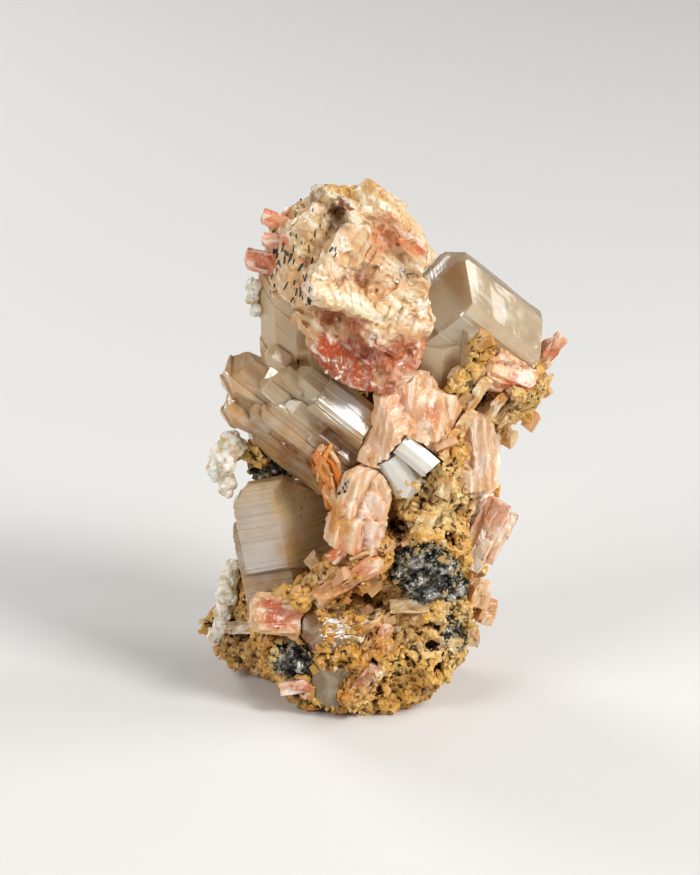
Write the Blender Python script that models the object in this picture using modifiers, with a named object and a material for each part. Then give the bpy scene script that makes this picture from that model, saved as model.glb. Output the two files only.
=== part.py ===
"""Cerussite on barite: champagne crystals, pink barite plates and galena on a rusty, crumbly matrix.

The specimen stands on a flat broken foot. Lengths are in metres, +Z is up and the viewer's side is -Y.
Every crystal or crystal group is a closed solid of its own, and what grew later is cut to fit what it grew on.
"""

import math

import bmesh
import bpy
from mathutils import Matrix, Vector, noise

MM = 0.001
HAIR = 0.32 * MM  # space left between two neighbouring solids
TO_MIDDLE = (0.511, -2.675, 0.0)  # brings the middle of the footprint to the origin
FUSE_VOXEL = 0.55 * MM  # grid on which rough masses are fused

COLOURS = {
    "cerussite": ((0.62, 0.47, 0.32, 1), 0.12),
    "barite": ((0.80, 0.44, 0.33, 1), 0.55),
    "matrix": ((0.66, 0.42, 0.15, 1), 0.85),
    "galena": ((0.10, 0.11, 0.12, 1), 0.35),
    "calcite": ((0.85, 0.83, 0.78, 1), 0.40),
}


def mm(x, y, z):
    return Vector((x, y, z)) * MM


def clear_scene():
    for thing in list(bpy.data.objects):
        bpy.data.objects.remove(thing)


def material(mineral):
    """The mineral's Principled material, made once."""
    found = bpy.data.materials.get(mineral)
    if found:
        return found
    colour, roughness = COLOURS[mineral]
    made = bpy.data.materials.new(mineral)
    made.use_nodes = True
    shader = made.node_tree.nodes["Principled BSDF"]
    shader.inputs["Base Color"].default_value = colour
    shader.inputs["Roughness"].default_value = roughness
    shader.inputs["Metallic"].default_value = 0.9 if mineral == "galena" else 0.0
    if mineral == "cerussite":
        shader.inputs["Transmission Weight"].default_value = 0.6
        shader.inputs["IOR"].default_value = 2.0
    return made


# Crystals with flat faces


def frame(axis, front):
    """A turn that takes local Z to the crystal's long axis and local -Y to the side that faces front."""
    z = Vector(axis).normalized()
    y = -Vector(front)
    y = (y - y.dot(z) * z).normalized()
    x = y.cross(z)
    return Matrix((x, y, z)).transposed().to_4x4()


def flat_faced(place, axis, front, size, cuts, grow=0.0):
    """A box of this size with planes cut off it, each a normal and its distance from the centre in mm."""
    shape = bmesh.new()
    box = Matrix.Diagonal((*(Vector(size) * MM + Vector((2, 2, 2)) * grow), 1))
    bmesh.ops.create_cube(shape, size=1, matrix=box)
    for normal, distance in cuts:
        normal = Vector(normal).normalized()
        everything = shape.verts[:] + shape.edges[:] + shape.faces[:]
        cut = bmesh.ops.bisect_plane(
            shape,
            geom=everything,
            dist=1e-7,
            plane_co=normal * (distance * MM + grow),
            plane_no=normal,
            clear_outer=True,
        )
        rim = [edge for edge in cut["geom_cut"] if isinstance(edge, bmesh.types.BMEdge)]
        if rim:
            bmesh.ops.contextual_create(shape, geom=rim)
    bmesh.ops.recalc_face_normals(shape, faces=shape.faces[:])
    shape.transform(Matrix.Translation(mm(*place)) @ frame(axis, front))
    return shape


def as_object(name, shape):
    mesh = bpy.data.meshes.new(name)
    shape.to_mesh(mesh)
    shape.free()
    made = bpy.data.objects.new(name, mesh)
    bpy.context.scene.collection.objects.link(made)
    return made


def settle_modifiers(thing):
    """Replaces the object's mesh by what its modifiers make of it."""
    graph = bpy.context.evaluated_depsgraph_get()
    mesh = bpy.data.meshes.new_from_object(thing.evaluated_get(graph))
    old = thing.data
    thing.modifiers.clear()
    thing.data = mesh
    bpy.data.meshes.remove(old)


def combine(thing, other, operation, solver="EXACT"):
    step = thing.modifiers.new(operation.title(), "BOOLEAN")
    step.operation = operation
    step.solver = solver
    step.object = other
    settle_modifiers(thing)


def grown_together(name, crystals, grow=0.0):
    """One solid of several crystals that overlap."""
    whole = as_object(name, flat_faced(*crystals[0], grow))
    for crystal in crystals[1:]:
        twin = as_object("twin", flat_faced(*crystal, grow))
        combine(whole, twin, "UNION")
        bpy.data.objects.remove(twin)
    return whole


# Rough masses


def ball(shape, place, radii, turn=(0, 0, 0)):
    angles = [math.radians(angle) for angle in turn]
    rotation = Matrix.Rotation(angles[2], 4, "Z") @ Matrix.Rotation(angles[1], 4, "Y")
    rotation = rotation @ Matrix.Rotation(angles[0], 4, "X")
    matrix = Matrix.Translation(mm(*place)) @ rotation @ Matrix.Diagonal((*(Vector(radii) * MM), 1))
    bmesh.ops.create_icosphere(shape, subdivisions=3, radius=1, matrix=matrix)


def loft(shape, near, far):
    """A closed block between two outlines with the same number of points."""
    front = [shape.verts.new(mm(*point)) for point in near]
    back = [shape.verts.new(mm(*point)) for point in far]
    count = len(front)
    faces = [shape.faces.new(front), shape.faces.new(list(reversed(back)))]
    for i in range(count):
        j = (i + 1) % count
        faces.append(shape.faces.new((front[j], front[i], back[i], back[j])))
    bmesh.ops.recalc_face_normals(shape, faces=faces)


def plate(shape, crystal):
    """Adds a flat-faced crystal to a mass."""
    block = flat_faced(*crystal)
    mesh = bpy.data.meshes.new("block")
    block.to_mesh(mesh)
    block.free()
    shape.from_mesh(mesh)
    bpy.data.meshes.remove(mesh)


def largest_part(thing):
    """Drops the crumbs that a cut has left loose."""
    shape = bmesh.new()
    shape.from_mesh(thing.data)
    left = set(shape.verts)
    islands = []
    while left:
        island, edge_of = set(), [left.pop()]
        while edge_of:
            vertex = edge_of.pop()
            island.add(vertex)
            near = [edge.other_vert(vertex) for edge in vertex.link_edges]
            fresh = [other for other in near if other in left]
            left.difference_update(fresh)
            edge_of.extend(fresh)
        islands.append(island)
    islands.sort(key=len, reverse=True)
    crumbs = [vertex for island in islands[1:] for vertex in island]
    bmesh.ops.delete(shape, geom=crumbs, context="VERTS")
    shape.to_mesh(thing.data)
    shape.free()


def roughen(thing, layers):
    """Moves each point along its normal by noise: each layer is a grain in mm, a height in mm and a seed."""
    mesh = thing.data
    normals = [vertex.normal.copy() for vertex in mesh.vertices]
    for vertex, normal in zip(mesh.vertices, normals):
        height = 0.0
        for grain, strength, seed in layers:
            sample = vertex.co / (grain * MM) + Vector((seed, 2 * seed, -seed))
            height += noise.noise(sample) * strength * MM
        vertex.co += normal * height
    mesh.update()


def fused_mass(name, shape, layers, triangles, voxel=FUSE_VOXEL):
    """Joins overlapping lumps in one rough, closed solid of about this many triangles."""
    thing = as_object(name, shape)
    skin = thing.modifiers.new("Skin", "REMESH")
    skin.mode = "VOXEL"
    skin.voxel_size = voxel
    settle_modifiers(thing)
    roughen(thing, layers)
    coarse = thing.modifiers.new("Coarse", "DECIMATE")
    count = sum(len(face.vertices) - 2 for face in thing.data.polygons)
    coarse.ratio = min(1.0, triangles / count)
    settle_modifiers(thing)
    largest_part(thing)
    return thing


def swollen(thing, by):
    """A copy of a mass that is larger all round."""
    copy = bpy.data.objects.new(thing.name + "_room", thing.data.copy())
    bpy.context.scene.collection.objects.link(copy)
    normals = [vertex.normal.copy() for vertex in copy.data.vertices]
    for vertex, normal in zip(copy.data.vertices, normals):
        vertex.co += normal * by
    copy.data.update()
    return copy


# Cerussite

# Each crystal: place, long axis, the side that faces the viewer, size, cuts.
TWIN_AXIS = (0.78, -0.10, -0.62)
TWIN_FRONT = (-0.05, -0.98, 0.10)
TWIN_CUTS = [
    ((-0.62, -0.78, 0), 5.7),
    ((0.75, -0.66, 0), 5.7),
    ((-0.7, 0.7, 0), 7.6),
    ((0.7, 0.7, 0), 7.8),
    ((-0.45, -0.35, -0.82), 8.0),
    ((0.55, -0.25, -0.79), 8.2),
    ((0.1, 0.55, -0.83), 8.6),
    ((-0.20, -0.25, 0.95), 8.4),
    ((0.60, -0.20, 0.77), 9.4),
]
CLUSTER = [
    ((-9.7, 1.0, 38.4), TWIN_AXIS, TWIN_FRONT, (14, 13, 19), TWIN_CUTS),
    # the raised growth whose upper face catches the light
    (
        (-5.3, -4.4, 42.6),
        TWIN_AXIS,
        TWIN_FRONT,
        (5.2, 6.0, 9.0),
        [((-0.62, -0.78, 0), 2.3), ((0.75, -0.66, 0), 2.6), ((-0.15, -0.2, 0.97), 4.2)],
    ),
    # two points that stand out to the left
    (
        (-15.7, 0.0, 44.3),
        (0.88, -0.05, -0.40),
        TWIN_FRONT,
        (6.0, 6.0, 13.4),
        [
            ((-0.6, -0.75, 0), 2.6),
            ((0.75, -0.6, 0), 2.9),
            ((-0.75, -0.2, -0.62), 4.6),
            ((0.60, -0.3, -0.74), 5.2),
        ],
    ),
    (
        (-17.8, -0.4, 40.4),
        (0.90, -0.05, -0.40),
        TWIN_FRONT,
        (4.6, 5.0, 9.0),
        [
            ((-0.6, -0.75, 0), 2.0),
            ((0.75, -0.6, 0), 2.3),
            ((-0.70, -0.2, -0.68), 3.6),
            ((0.65, -0.3, -0.70), 3.6),
        ],
    ),
    # the rise towards the head
    (
        (-10.6, -0.4, 45.6),
        (0.80, -0.05, -0.55),
        TWIN_FRONT,
        (7.0, 8.0, 11.0),
        [((-0.66, -0.75, 0), 3.4), ((0.7, -0.7, 0), 3.7), ((-0.4, -0.2, -0.9), 4.8)],
    ),
    # the upright column under the head
    (
        (-12.6, 1.4, 53.4),
        (-0.03, 0.05, 1.0),
        (-0.1, -1.0, 0.0),
        (8.6, 8.0, 19.0),
        [
            ((-0.78, -0.62, 0), 3.9),
            ((0.55, -0.84, 0), 3.9),
            ((0.85, 0.55, 0), 4.6),
            ((-0.8, 0.6, 0), 4.6),
            ((0, -0.3, 0.95), 8.6),
        ],
    ),
]

LEFT_AXIS = (-0.19, 0.16, 0.97)
LEFT_FRONT = (-0.10, -0.98, 0.15)
LEFT_SIDES = [
    ((0.72, -0.69, 0), 4.2),
    ((-1, -0.1, 0), 5.6),
    ((0.6, 0.8, 0), 6.2),
    ((-0.7, 0.7, 0), 6.2),
]
LEFT_CRYSTAL = [
    (
        (-14.0, -1.0, 22.4),
        LEFT_AXIS,
        LEFT_FRONT,
        (13.6, 10.4, 18.4),
        LEFT_SIDES
        + [
            ((-0.71, 0, 0.71), 8.6),
            ((0.67, 0, 0.74), 8.2),
            ((0, -0.5, 0.86), 9.9),
            ((0, 0.62, 0.78), 6.4),
            ((0, -0.35, -0.94), 4.6),
        ],
    ),
    # the part below the striped face stands a little further back
    (
        (-14.0, -0.2, 20.4),
        LEFT_AXIS,
        LEFT_FRONT,
        (14.0, 10.0, 17.0),
        [((0.72, -0.69, 0), 4.4), ((-1, -0.1, 0), 6.2), ((-0.7, 0.7, 0), 6.2), ((0.2, 0, 0.98), 3.0)],
    ),
]

RIGHT_AXIS = (0.74, 0.12, -0.66)
RIGHT_FRONT = (-0.10, -0.97, 0.22)
RIGHT_CRYSTAL = [
    (
        (12.9, 5.0, 52.3),
        RIGHT_AXIS,
        RIGHT_FRONT,
        (13.0, 12.0, 17.0),
        [
            ((-0.80, -0.60, 0), 5.9),
            ((0.30, -0.95, 0), 5.4),
            ((-0.75, 0.66, 0), 6.6),
            ((0.10, -0.55, -0.83), 6.9),
            ((-0.60, 0.1, -0.79), 9.9),
            ((0.50, 0.1, 0.86), 8.4),
            ((-0.5, -0.1, 0.86), 9.0),
        ],
    ),
    (
        (8.2, 3.0, 47.4),
        (0.1, 0.1, 1.0),
        (-0.3, -0.95, 0.0),
        (8.0, 8.0, 10.0),
        [((-0.8, -0.6, 0), 3.9), ((0.6, -0.8, 0), 3.9), ((0, -0.6, 0.8), 4.6)],
    ),
    (
        (12.2, -0.8, 49.6),
        (0.05, 0.25, 1.0),
        (0.1, -1.0, 0.1),
        (3.2, 3.4, 8.6),
        [((-0.7, -0.7, 0), 1.8), ((0.7, -0.7, 0), 1.8), ((0, -0.5, 0.86), 3.8), ((0.3, -0.3, -0.9), 3.9)],
    ),
]

SMALL_CRYSTAL = [
    (
        (4.4, -7.2, 37.4),
        (0.76, -0.08, -0.64),
        (-0.05, -0.90, 0.42),
        (3.2, 4.4, 6.0),
        [((-0.62, -0.78, 0), 1.9), ((0.75, -0.66, 0), 2.1), ((0.2, -0.2, 0.96), 2.8)],
    ),
    (
        (2.4, -7.2, 34.4),
        (0.50, -0.10, -0.85),
        (-0.2, -0.97, 0.1),
        (3.8, 4.6, 6.6),
        [((-0.7, -0.7, 0), 2.0), ((0.7, -0.7, 0), 2.1), ((-0.6, -0.3, 0.75), 2.5), ((0.6, -0.3, 0.75), 2.8)],
    ),
]

FOOT_CRYSTAL = [
    (
        (-7.0, -9.0, 11.6),
        (-0.93, -0.28, 0.22),
        (-0.25, -0.95, -0.1),
        (6.6, 6.4, 9.0),
        [
            ((-0.72, -0.7, 0), 3.2),
            ((0.72, -0.7, 0), 3.2),
            ((-0.6, -0.3, 0.74), 4.0),
            ((0.55, -0.3, 0.77), 4.1),
        ],
    ),
]
BASE_CRYSTAL = [
    (
        (-7.6, -9.8, 4.0),
        (0.15, 0.1, 1.0),
        (-0.35, -0.93, -0.25),
        (6.4, 5.0, 7.0),
        [((-0.8, -0.6, 0), 2.9), ((0.8, -0.6, 0), 3.1), ((0, -0.5, -0.87), 3.1)],
    ),
]
BACK_CRYSTALS = {
    "cerussite_back_high": [
        (
            (1.0, 14.0, 44.0),
            (0.35, 0.55, 0.75),
            (0.2, 0.9, -0.4),
            (7.5, 7.0, 13.0),
            [
                ((0.75, -0.66, 0), 3.6),
                ((-0.75, -0.66, 0), 3.6),
                ((0.7, 0.7, 0), 4.4),
                ((0.5, -0.2, 0.84), 5.4),
                ((-0.5, -0.2, 0.84), 5.6),
                ((0, -0.7, 0.71), 5.6),
            ],
        ),
        (
            (-4.4, 13.0, 41.2),
            (-0.45, 0.6, 0.66),
            (0.1, 0.9, -0.4),
            (5.5, 5.5, 11.0),
            [
                ((0.75, -0.66, 0), 2.7),
                ((-0.75, -0.66, 0), 2.7),
                ((0.6, -0.2, 0.77), 4.5),
                ((-0.5, -0.2, 0.84), 4.6),
            ],
        ),
    ],
    "cerussite_back_low": [
        (
            (-10.5, 12.5, 21.0),
            (-0.55, 0.72, 0.42),
            (0.2, 0.9, -0.4),
            (7.0, 7.0, 12.0),
            [
                ((0.75, -0.66, 0), 3.4),
                ((-0.75, -0.66, 0), 3.4),
                ((0.55, -0.2, 0.81), 4.9),
                ((-0.5, -0.2, 0.84), 4.9),
                ((0, 0.6, 0.8), 5.1),
            ],
        ),
    ],
}

# Barite plates

# The usual outline of a plate: blunt corners and a chisel edge.
PLATE_CUTS = [
    ((0.55, -0.45, 0.70), 0.78),
    ((-0.55, -0.45, 0.70), 0.78),
    ((0.55, 0.45, 0.70), 0.80),
    ((-0.55, 0.45, 0.70), 0.80),
    ((0.80, -0.60, 0), 0.86),
    ((-0.80, -0.60, 0), 0.86),
    ((0, -0.70, 0.71), 0.92),
]


def barite_plate(place, axis, front, size):
    """A tabular crystal. Its cuts scale with its half length, width and thickness."""
    half = Vector(size) / 2
    cuts = []
    for normal, share in PLATE_CUTS:
        reach = sum(abs(n) * h for n, h in zip(normal, half))
        length = Vector(normal).length
        cuts.append((normal, share * reach / length))
    return (place, axis, front, size, cuts)


BLADE_FRONT = [
    barite_plate((-2.9, -8.6, 30.1), (0.24, 0.10, 0.96), (0.30, -0.94, 0.10), (6.8, 3.8, 11.8)),
    barite_plate((-4.0, -7.4, 29.6), (0.24, 0.10, 0.96), (0.20, -0.96, 0.10), (6.0, 3.0, 10.4)),
]
BLADES_MIDDLE = [
    barite_plate((3.6, -5.4, 43.4), (-0.25, 0.20, 0.95), (0.35, -0.90, 0.20), (8.4, 3.6, 10.0)),
    barite_plate((1.0, -6.6, 39.0), (0.30, 0.12, 0.94), (-0.20, -0.96, 0.10), (6.2, 3.6, 10.0)),
    barite_plate((6.6, -4.6, 41.0), (0.35, 0.15, 0.92), (0.55, -0.80, 0.15), (6.0, 3.0, 10.0)),
]
BLADES_RIGHT = [
    barite_plate((11.6, -2.6, 36.4), (-0.05, 0.10, 0.99), (0.25, -0.96, 0.10), (7.6, 4.6, 11.0)),
    barite_plate((9.0, -1.4, 38.4), (0.25, 0.10, 0.96), (-0.30, -0.94, 0.10), (6.0, 4.0, 9.0)),
    barite_plate((13.2, -0.6, 34.4), (0.05, 0.10, 0.99), (0.80, -0.58, 0.10), (6.0, 3.6, 10.0)),
]
BLADE_LOW = [
    barite_plate((-14.0, -8.8, 14.2), (-0.95, -0.10, 0.16), (-0.12, -0.92, 0.35), (5.6, 3.4, 8.8)),
    barite_plate((-11.0, -8.4, 13.4), (-0.70, -0.10, -0.70), (-0.12, -0.92, 0.35), (4.4, 3.0, 6.4)),
]
LEDGE_BLADE = [
    barite_plate((-4.6, -10.4, 20.4), (0.82, -0.05, 0.54), (0.10, -0.90, 0.40), (2.6, 2.2, 11.0)),
]
SPLINTERS = [
    barite_plate((-8.0, -7.2, 34.9), (-0.34, -0.05, 0.94), (0.20, -0.98, 0.05), (1.5, 1.1, 7.4)),
    barite_plate((-7.0, -6.9, 34.0), (-0.12, -0.05, 0.99), (0.50, -0.86, 0.05), (1.3, 1.0, 6.0)),
]
PLATES_SIDE = [
    barite_plate((12.0, 2.4, 22.6), (0.36, 0.10, 0.92), (0.75, -0.62, 0.10), (7.4, 3.0, 11.4)),
    barite_plate((12.8, 4.6, 20.4), (0.42, 0.10, 0.90), (0.85, -0.45, 0.10), (7.0, 2.6, 10.0)),
    barite_plate((12.4, 5.6, 25.6), (0.10, 0.10, 0.98), (0.90, -0.35, 0.10), (6.0, 2.4, 6.0)),
]
KNOBS_SIDE = [
    barite_plate((10.6, 2.6, 12.0), (0.30, -0.10, 0.95), (0.70, -0.70, 0.10), (5.0, 3.4, 6.6)),
    barite_plate((12.0, 4.4, 11.8), (-0.20, 0.10, 0.97), (0.80, -0.60, 0.10), (4.6, 3.0, 6.0)),
]
TIP = [
    barite_plate((22.0, 7.2, 46.2), (0.66, 0.0, 0.75), (0.50, -0.85, 0.10), (2.6, 2.0, 6.4)),
]
PATCH_RIGHT = [
    barite_plate((17.6, -1.4, 47.2), (0.80, 0.10, -0.58), (0.10, -0.95, 0.30), (4.4, 3.4, 6.6)),
    barite_plate((15.4, -1.6, 47.6), (0.20, 0.10, 0.97), (-0.20, -0.95, 0.20), (3.4, 3.2, 4.6)),
]
BACK_PLATES = {
    "barite_back_top": [
        barite_plate((-6.0, 9.2, 57.0), (0.35, 0.15, 0.92), (0.10, 0.98, 0.05), (12.0, 3.4, 15.0)),
        barite_plate((-2.0, 10.6, 54.0), (-0.30, 0.25, 0.92), (0.45, 0.88, 0.05), (10.0, 3.0, 12.0)),
        barite_plate((-10.0, 10.0, 53.0), (0.60, 0.25, 0.75), (-0.40, 0.90, 0.05), (9.0, 3.0, 11.0)),
    ],
    "barite_back_middle": [
        barite_plate((-1.0, 13.4, 30.0), (0.50, 0.25, 0.83), (-0.15, 0.96, 0.10), (10.0, 3.4, 13.0)),
        barite_plate((4.6, 12.4, 32.0), (-0.35, 0.30, 0.88), (0.45, 0.88, 0.10), (9.0, 3.2, 12.0)),
        barite_plate((-5.4, 12.6, 31.0), (0.10, 0.30, 0.94), (-0.60, 0.78, 0.10), (8.0, 3.0, 10.0)),
    ],
    "barite_back_low": [
        barite_plate((4.6, 11.6, 13.0), (0.70, 0.25, 0.66), (0.10, 0.97, 0.10), (8.6, 3.4, 12.0)),
        barite_plate((0.0, 12.2, 10.6), (-0.50, 0.25, 0.82), (-0.25, 0.95, 0.10), (8.0, 3.0, 10.0)),
    ],
    "barite_back_side": [
        barite_plate((11.6, 9.6, 35.0), (0.15, 0.25, 0.95), (0.70, 0.70, 0.10), (7.0, 3.2, 11.0)),
        barite_plate((10.0, 11.4, 38.6), (-0.35, 0.25, 0.90), (0.45, 0.85, 0.10), (7.0, 3.0, 9.0)),
    ],
}

# The head: a thick barite block with a crumpled front, seen tilted to the right

HEAD_NEAR = [
    (-4.4, -5.0, 72.5),
    (0.0, -4.0, 73.0),
    (3.2, -3.0, 72.2),
    (4.9, -3.0, 69.2),
    (6.8, -2.5, 64.0),
    (6.0, -3.0, 62.4),
    (6.9, -3.0, 61.2),
    (6.4, -4.0, 58.8),
    (7.4, -5.0, 54.8),
    (6.6, -6.0, 52.2),
    (5.3, -7.0, 49.6),
    (3.5, -8.0, 47.6),
    (1.0, -9.0, 46.4),
    (-2.4, -9.0, 47.4),
    (-5.5, -9.0, 48.6),
    (-8.4, -9.0, 50.0),
    (-11.0, -9.0, 52.6),
    (-10.6, -9.5, 56.0),
    (-9.8, -10.0, 57.9),
    (-11.4, -10.0, 61.4),
    (-10.0, -9.0, 64.0),
    (-8.0, -8.0, 66.0),
    (-6.6, -6.5, 69.0),
]
HEAD_CENTRE = (-2.5, -6.0, 60.0)
HEAD_BACK_STEP = (-5.0, 8.0, -2.6)
HEAD_BACK_SHARE = 0.78
LOWER_LIMIT = 56.0  # below this height the head is only a slab
SLAB_STEP = (-0.6, 3.6, 1.0)


def far_side(point):
    """Where the back of the head lies behind a point of its front."""
    thin = point[2] < LOWER_LIMIT
    step = SLAB_STEP if thin else HEAD_BACK_STEP
    share = 0.93 if thin else HEAD_BACK_SHARE
    return tuple(c + (p - c) * share + s for p, c, s in zip(point, HEAD_CENTRE, step))


# plate edges that stick out on the left
HEAD_LEAVES = [
    ((-11.4, 0.6, 68.6), (-0.30, 0.10, 0.95)),
    ((-12.8, 0.8, 66.0), (-0.55, 0.10, 0.80)),
    ((-13.6, 1.4, 63.4), (-0.40, 0.10, 0.90)),
    ((-14.6, 2.0, 60.6), (-0.75, 0.20, 0.60)),
    ((-13.4, 2.6, 58.6), (-0.85, 0.20, 0.30)),
]


def head():
    shape = bmesh.new()
    loft(shape, HEAD_NEAR, [far_side(point) for point in HEAD_NEAR])
    # thick rims and folds of the crumpled front
    ball(shape, (-8.6, -9.0, 61.6), (3.6, 2.6, 2.6), (0, 20, 0))
    ball(shape, (-5.4, -7.8, 67.0), (2.6, 2.4, 5.6), (0, 30, 0))
    ball(shape, (-3.6, -9.2, 60.0), (1.8, 2.0, 5.0), (0, -32, 0))
    ball(shape, (1.6, -7.6, 59.4), (5.0, 2.4, 2.4), (0, -14, 0))
    ball(shape, (4.2, -5.8, 56.4), (2.2, 2.6, 4.6), (0, 6, 0))
    ball(shape, (0.2, -8.4, 55.6), (4.4, 2.2, 2.0), (0, 24, 0))
    ball(shape, (4.0, -4.2, 66.6), (1.5, 2.2, 4.8), (0, -16, 0))
    # the speckled side and the stack of plate edges on the left
    ball(shape, (-11.0, -2.6, 64.8), (4.4, 6.0, 7.2), (0, 24, 0))
    for place, leaning in HEAD_LEAVES:
        plate(shape, barite_plate(place, leaning, (-0.5, -0.6, 0.6), (5.0, 2.0, 6.6)))
    # the rusty crest behind the top edge
    ball(shape, (-7.2, -0.5, 71.0), (4.0, 4.2, 2.8), (0, -14, 0))
    ball(shape, (-1.4, 0.4, 71.8), (3.4, 3.6, 2.2), (0, 16, 0))
    ball(shape, (0.4, 0.8, 70.6), (2.0, 3.0, 2.4))
    return fused_mass("barite_head", shape, [(5.0, 1.0, 3), (2.0, 0.6, 8)], 850)


# Matrix: rusty, crumbly limonite that holds everything

MATRIX_LUMPS = [
    # foot and lower bulge
    ((-3.2, 0.0, 5.0), (14.5, 12.5, 8.5), (0, 0, 0)),
    ((-2.0, -6.0, 9.0), (11.5, 6.5, 7.0), (0, 0, 0)),
    ((4.0, -5.0, 7.0), (7.0, 7.0, 6.0), (0, 0, 0)),
    ((-12.0, -5.0, 9.5), (6.0, 6.5, 5.0), (0, 0, 0)),
    ((-3.0, -8.8, 3.4), (5.5, 4.2, 4.2), (0, 0, 0)),
    # ledge on the left
    ((-19.6, 3.6, 5.6), (5.6, 6.0, 4.6), (0, -8, 0)),
    ((-17.0, 3.0, 11.0), (5.2, 6.0, 6.0), (0, 0, 0)),
    # sloping band across the front
    ((-9.0, -7.4, 17.6), (6.5, 3.6, 2.6), (0, -24, 0)),
    ((-3.0, -7.6, 21.0), (5.5, 4.2, 3.2), (0, -30, 0)),
    # right column
    ((5.4, -2.0, 14.0), (7.2, 8.0, 9.0), (0, 0, 0)),
    ((6.6, -2.2, 24.5), (6.4, 6.6, 9.0), (0, 0, 0)),
    ((8.0, -1.4, 33.0), (5.8, 6.2, 8.0), (0, 8, 0)),
    ((10.6, 6.0, 24.0), (5.0, 6.5, 12.0), (0, 0, 0)),
    # arm that carries the right crystal
    ((12.6, 2.0, 41.0), (6.2, 5.4, 5.6), (0, 30, 0)),
    ((17.4, 3.8, 43.4), (5.6, 5.0, 4.0), (0, -20, 0)),
    ((20.0, 4.6, 45.0), (3.4, 4.4, 3.6), (0, 0, 0)),
    ((11.6, -2.2, 45.4), (3.2, 3.0, 4.6), (0, 20, 0)),
    ((13.4, -2.0, 49.6), (2.2, 2.4, 3.6), (0, 10, 0)),
    ((17.6, -0.4, 43.6), (3.6, 3.2, 2.6), (0, 0, 0)),
    # core behind the crystals
    ((-4.0, 5.5, 18.0), (12.0, 7.5, 12.0), (0, 0, 0)),
    ((-2.0, 8.0, 30.0), (10.0, 6.0, 13.0), (0, 0, 0)),
    ((-2.0, 8.6, 42.0), (9.0, 5.4, 12.0), (0, 0, 0)),
    ((-5.0, 7.0, 54.0), (7.0, 4.4, 9.0), (0, 0, 0)),
    # speckled knob beside the front blade
    ((-5.6, -6.6, 33.2), (1.9, 2.2, 2.4), (0, 0, 0)),
    # arm to the white beads on the left
    ((-18.6, 1.6, 34.6), (4.2, 2.6, 2.0), (0, 12, 0)),
    ((-13.0, 5.0, 33.6), (5.0, 3.4, 3.0), (0, 0, 0)),
]


def matrix_mass():
    shape = bmesh.new()
    for place, radii, turn in MATRIX_LUMPS:
        ball(shape, place, radii, turn)
    return fused_mass("matrix", shape, [(6.0, 1.8, 5), (2.6, 1.2, 11)], 1500, 0.6 * MM)


# Galena and the white beads

GALENA = {
    "galena_front": ((5.6, -8.8, 21.0), (4.4, 2.6, 4.4), 26, 2.4),
    "galena_side": ((9.0, -6.0, 9.4), (2.2, 2.0, 3.0), 10, 2.0),
    "galena_low": ((-12.6, -9.6, 8.0), (3.2, 1.8, 2.2), 16, 1.9),
    "galena_cavity": ((-15.6, 3.4, 31.4), (3.0, 2.4, 1.8), 10, 2.2),
    "galena_right": ((9.4, -5.2, 17.6), (2.0, 2.2, 3.4), 10, 2.2),
}
BEADS = {
    "calcite_left": [
        (-21.4, -0.6, 37.0, 1.6),
        (-22.4, -0.6, 35.0, 1.7),
        (-22.8, -0.4, 32.6, 1.7),
        (-21.8, -0.6, 30.8, 1.4),
        (-20.4, -0.4, 36.0, 1.5),
        (-21.6, -1.6, 34.2, 1.3),
        (-22.0, -0.2, 29.6, 1.1),
    ],
    "calcite_top": [
        (-17.5, 1.4, 59.4, 1.2),
        (-18.0, 1.4, 57.6, 1.1),
        (-17.4, 1.0, 56.0, 1.0),
        (-16.8, 1.8, 58.4, 1.3),
    ],
    "calcite_low": [
        (-21.6, 0.6, 15.6, 1.5),
        (-22.0, 0.8, 13.0, 1.6),
        (-22.6, 1.0, 10.2, 1.4),
        (-23.6, 1.6, 6.4, 1.3),
        (-22.8, 1.2, 8.2, 1.3),
        (-21.2, 0.4, 17.6, 1.0),
    ],
}


def galena(name):
    """Dark cubes grown over a core: their corners stand out all over it."""
    place, radii, cubes, edge = GALENA[name]
    shape = bmesh.new()
    ball(shape, place, [r * 0.82 for r in radii])
    golden = math.pi * (3 - math.sqrt(5))
    for i in range(cubes):
        height = 1 - 2 * (i + 0.5) / cubes
        ring = math.sqrt(1 - height * height)
        around = golden * i
        outward = Vector((ring * math.cos(around), ring * math.sin(around), height))
        spot = Vector(place) + Vector([o * r * 0.8 for o, r in zip(outward, radii)])
        size = edge * (0.8 + 0.4 * noise.noise(outward * 3.1))
        turn = Matrix.Rotation(1.7 * i, 4, outward) @ Matrix.Rotation(0.6 * i, 4, "X")
        cube = Matrix.Translation(spot * MM) @ turn @ Matrix.Diagonal((size * MM,) * 3 + (1,))
        bmesh.ops.create_cube(shape, size=1, matrix=cube)
    return fused_mass(name, shape, [(1.4, 0.15, 2)], 170, 0.3 * MM)


def beads(name):
    shape = bmesh.new()
    for x, y, z, radius in BEADS[name]:
        ball(shape, (x, y, z), (radius, radius, radius))
    return fused_mass(name, shape, [(1.6, 0.25, 4)], 180, 0.3 * MM)


# Assembly

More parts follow.
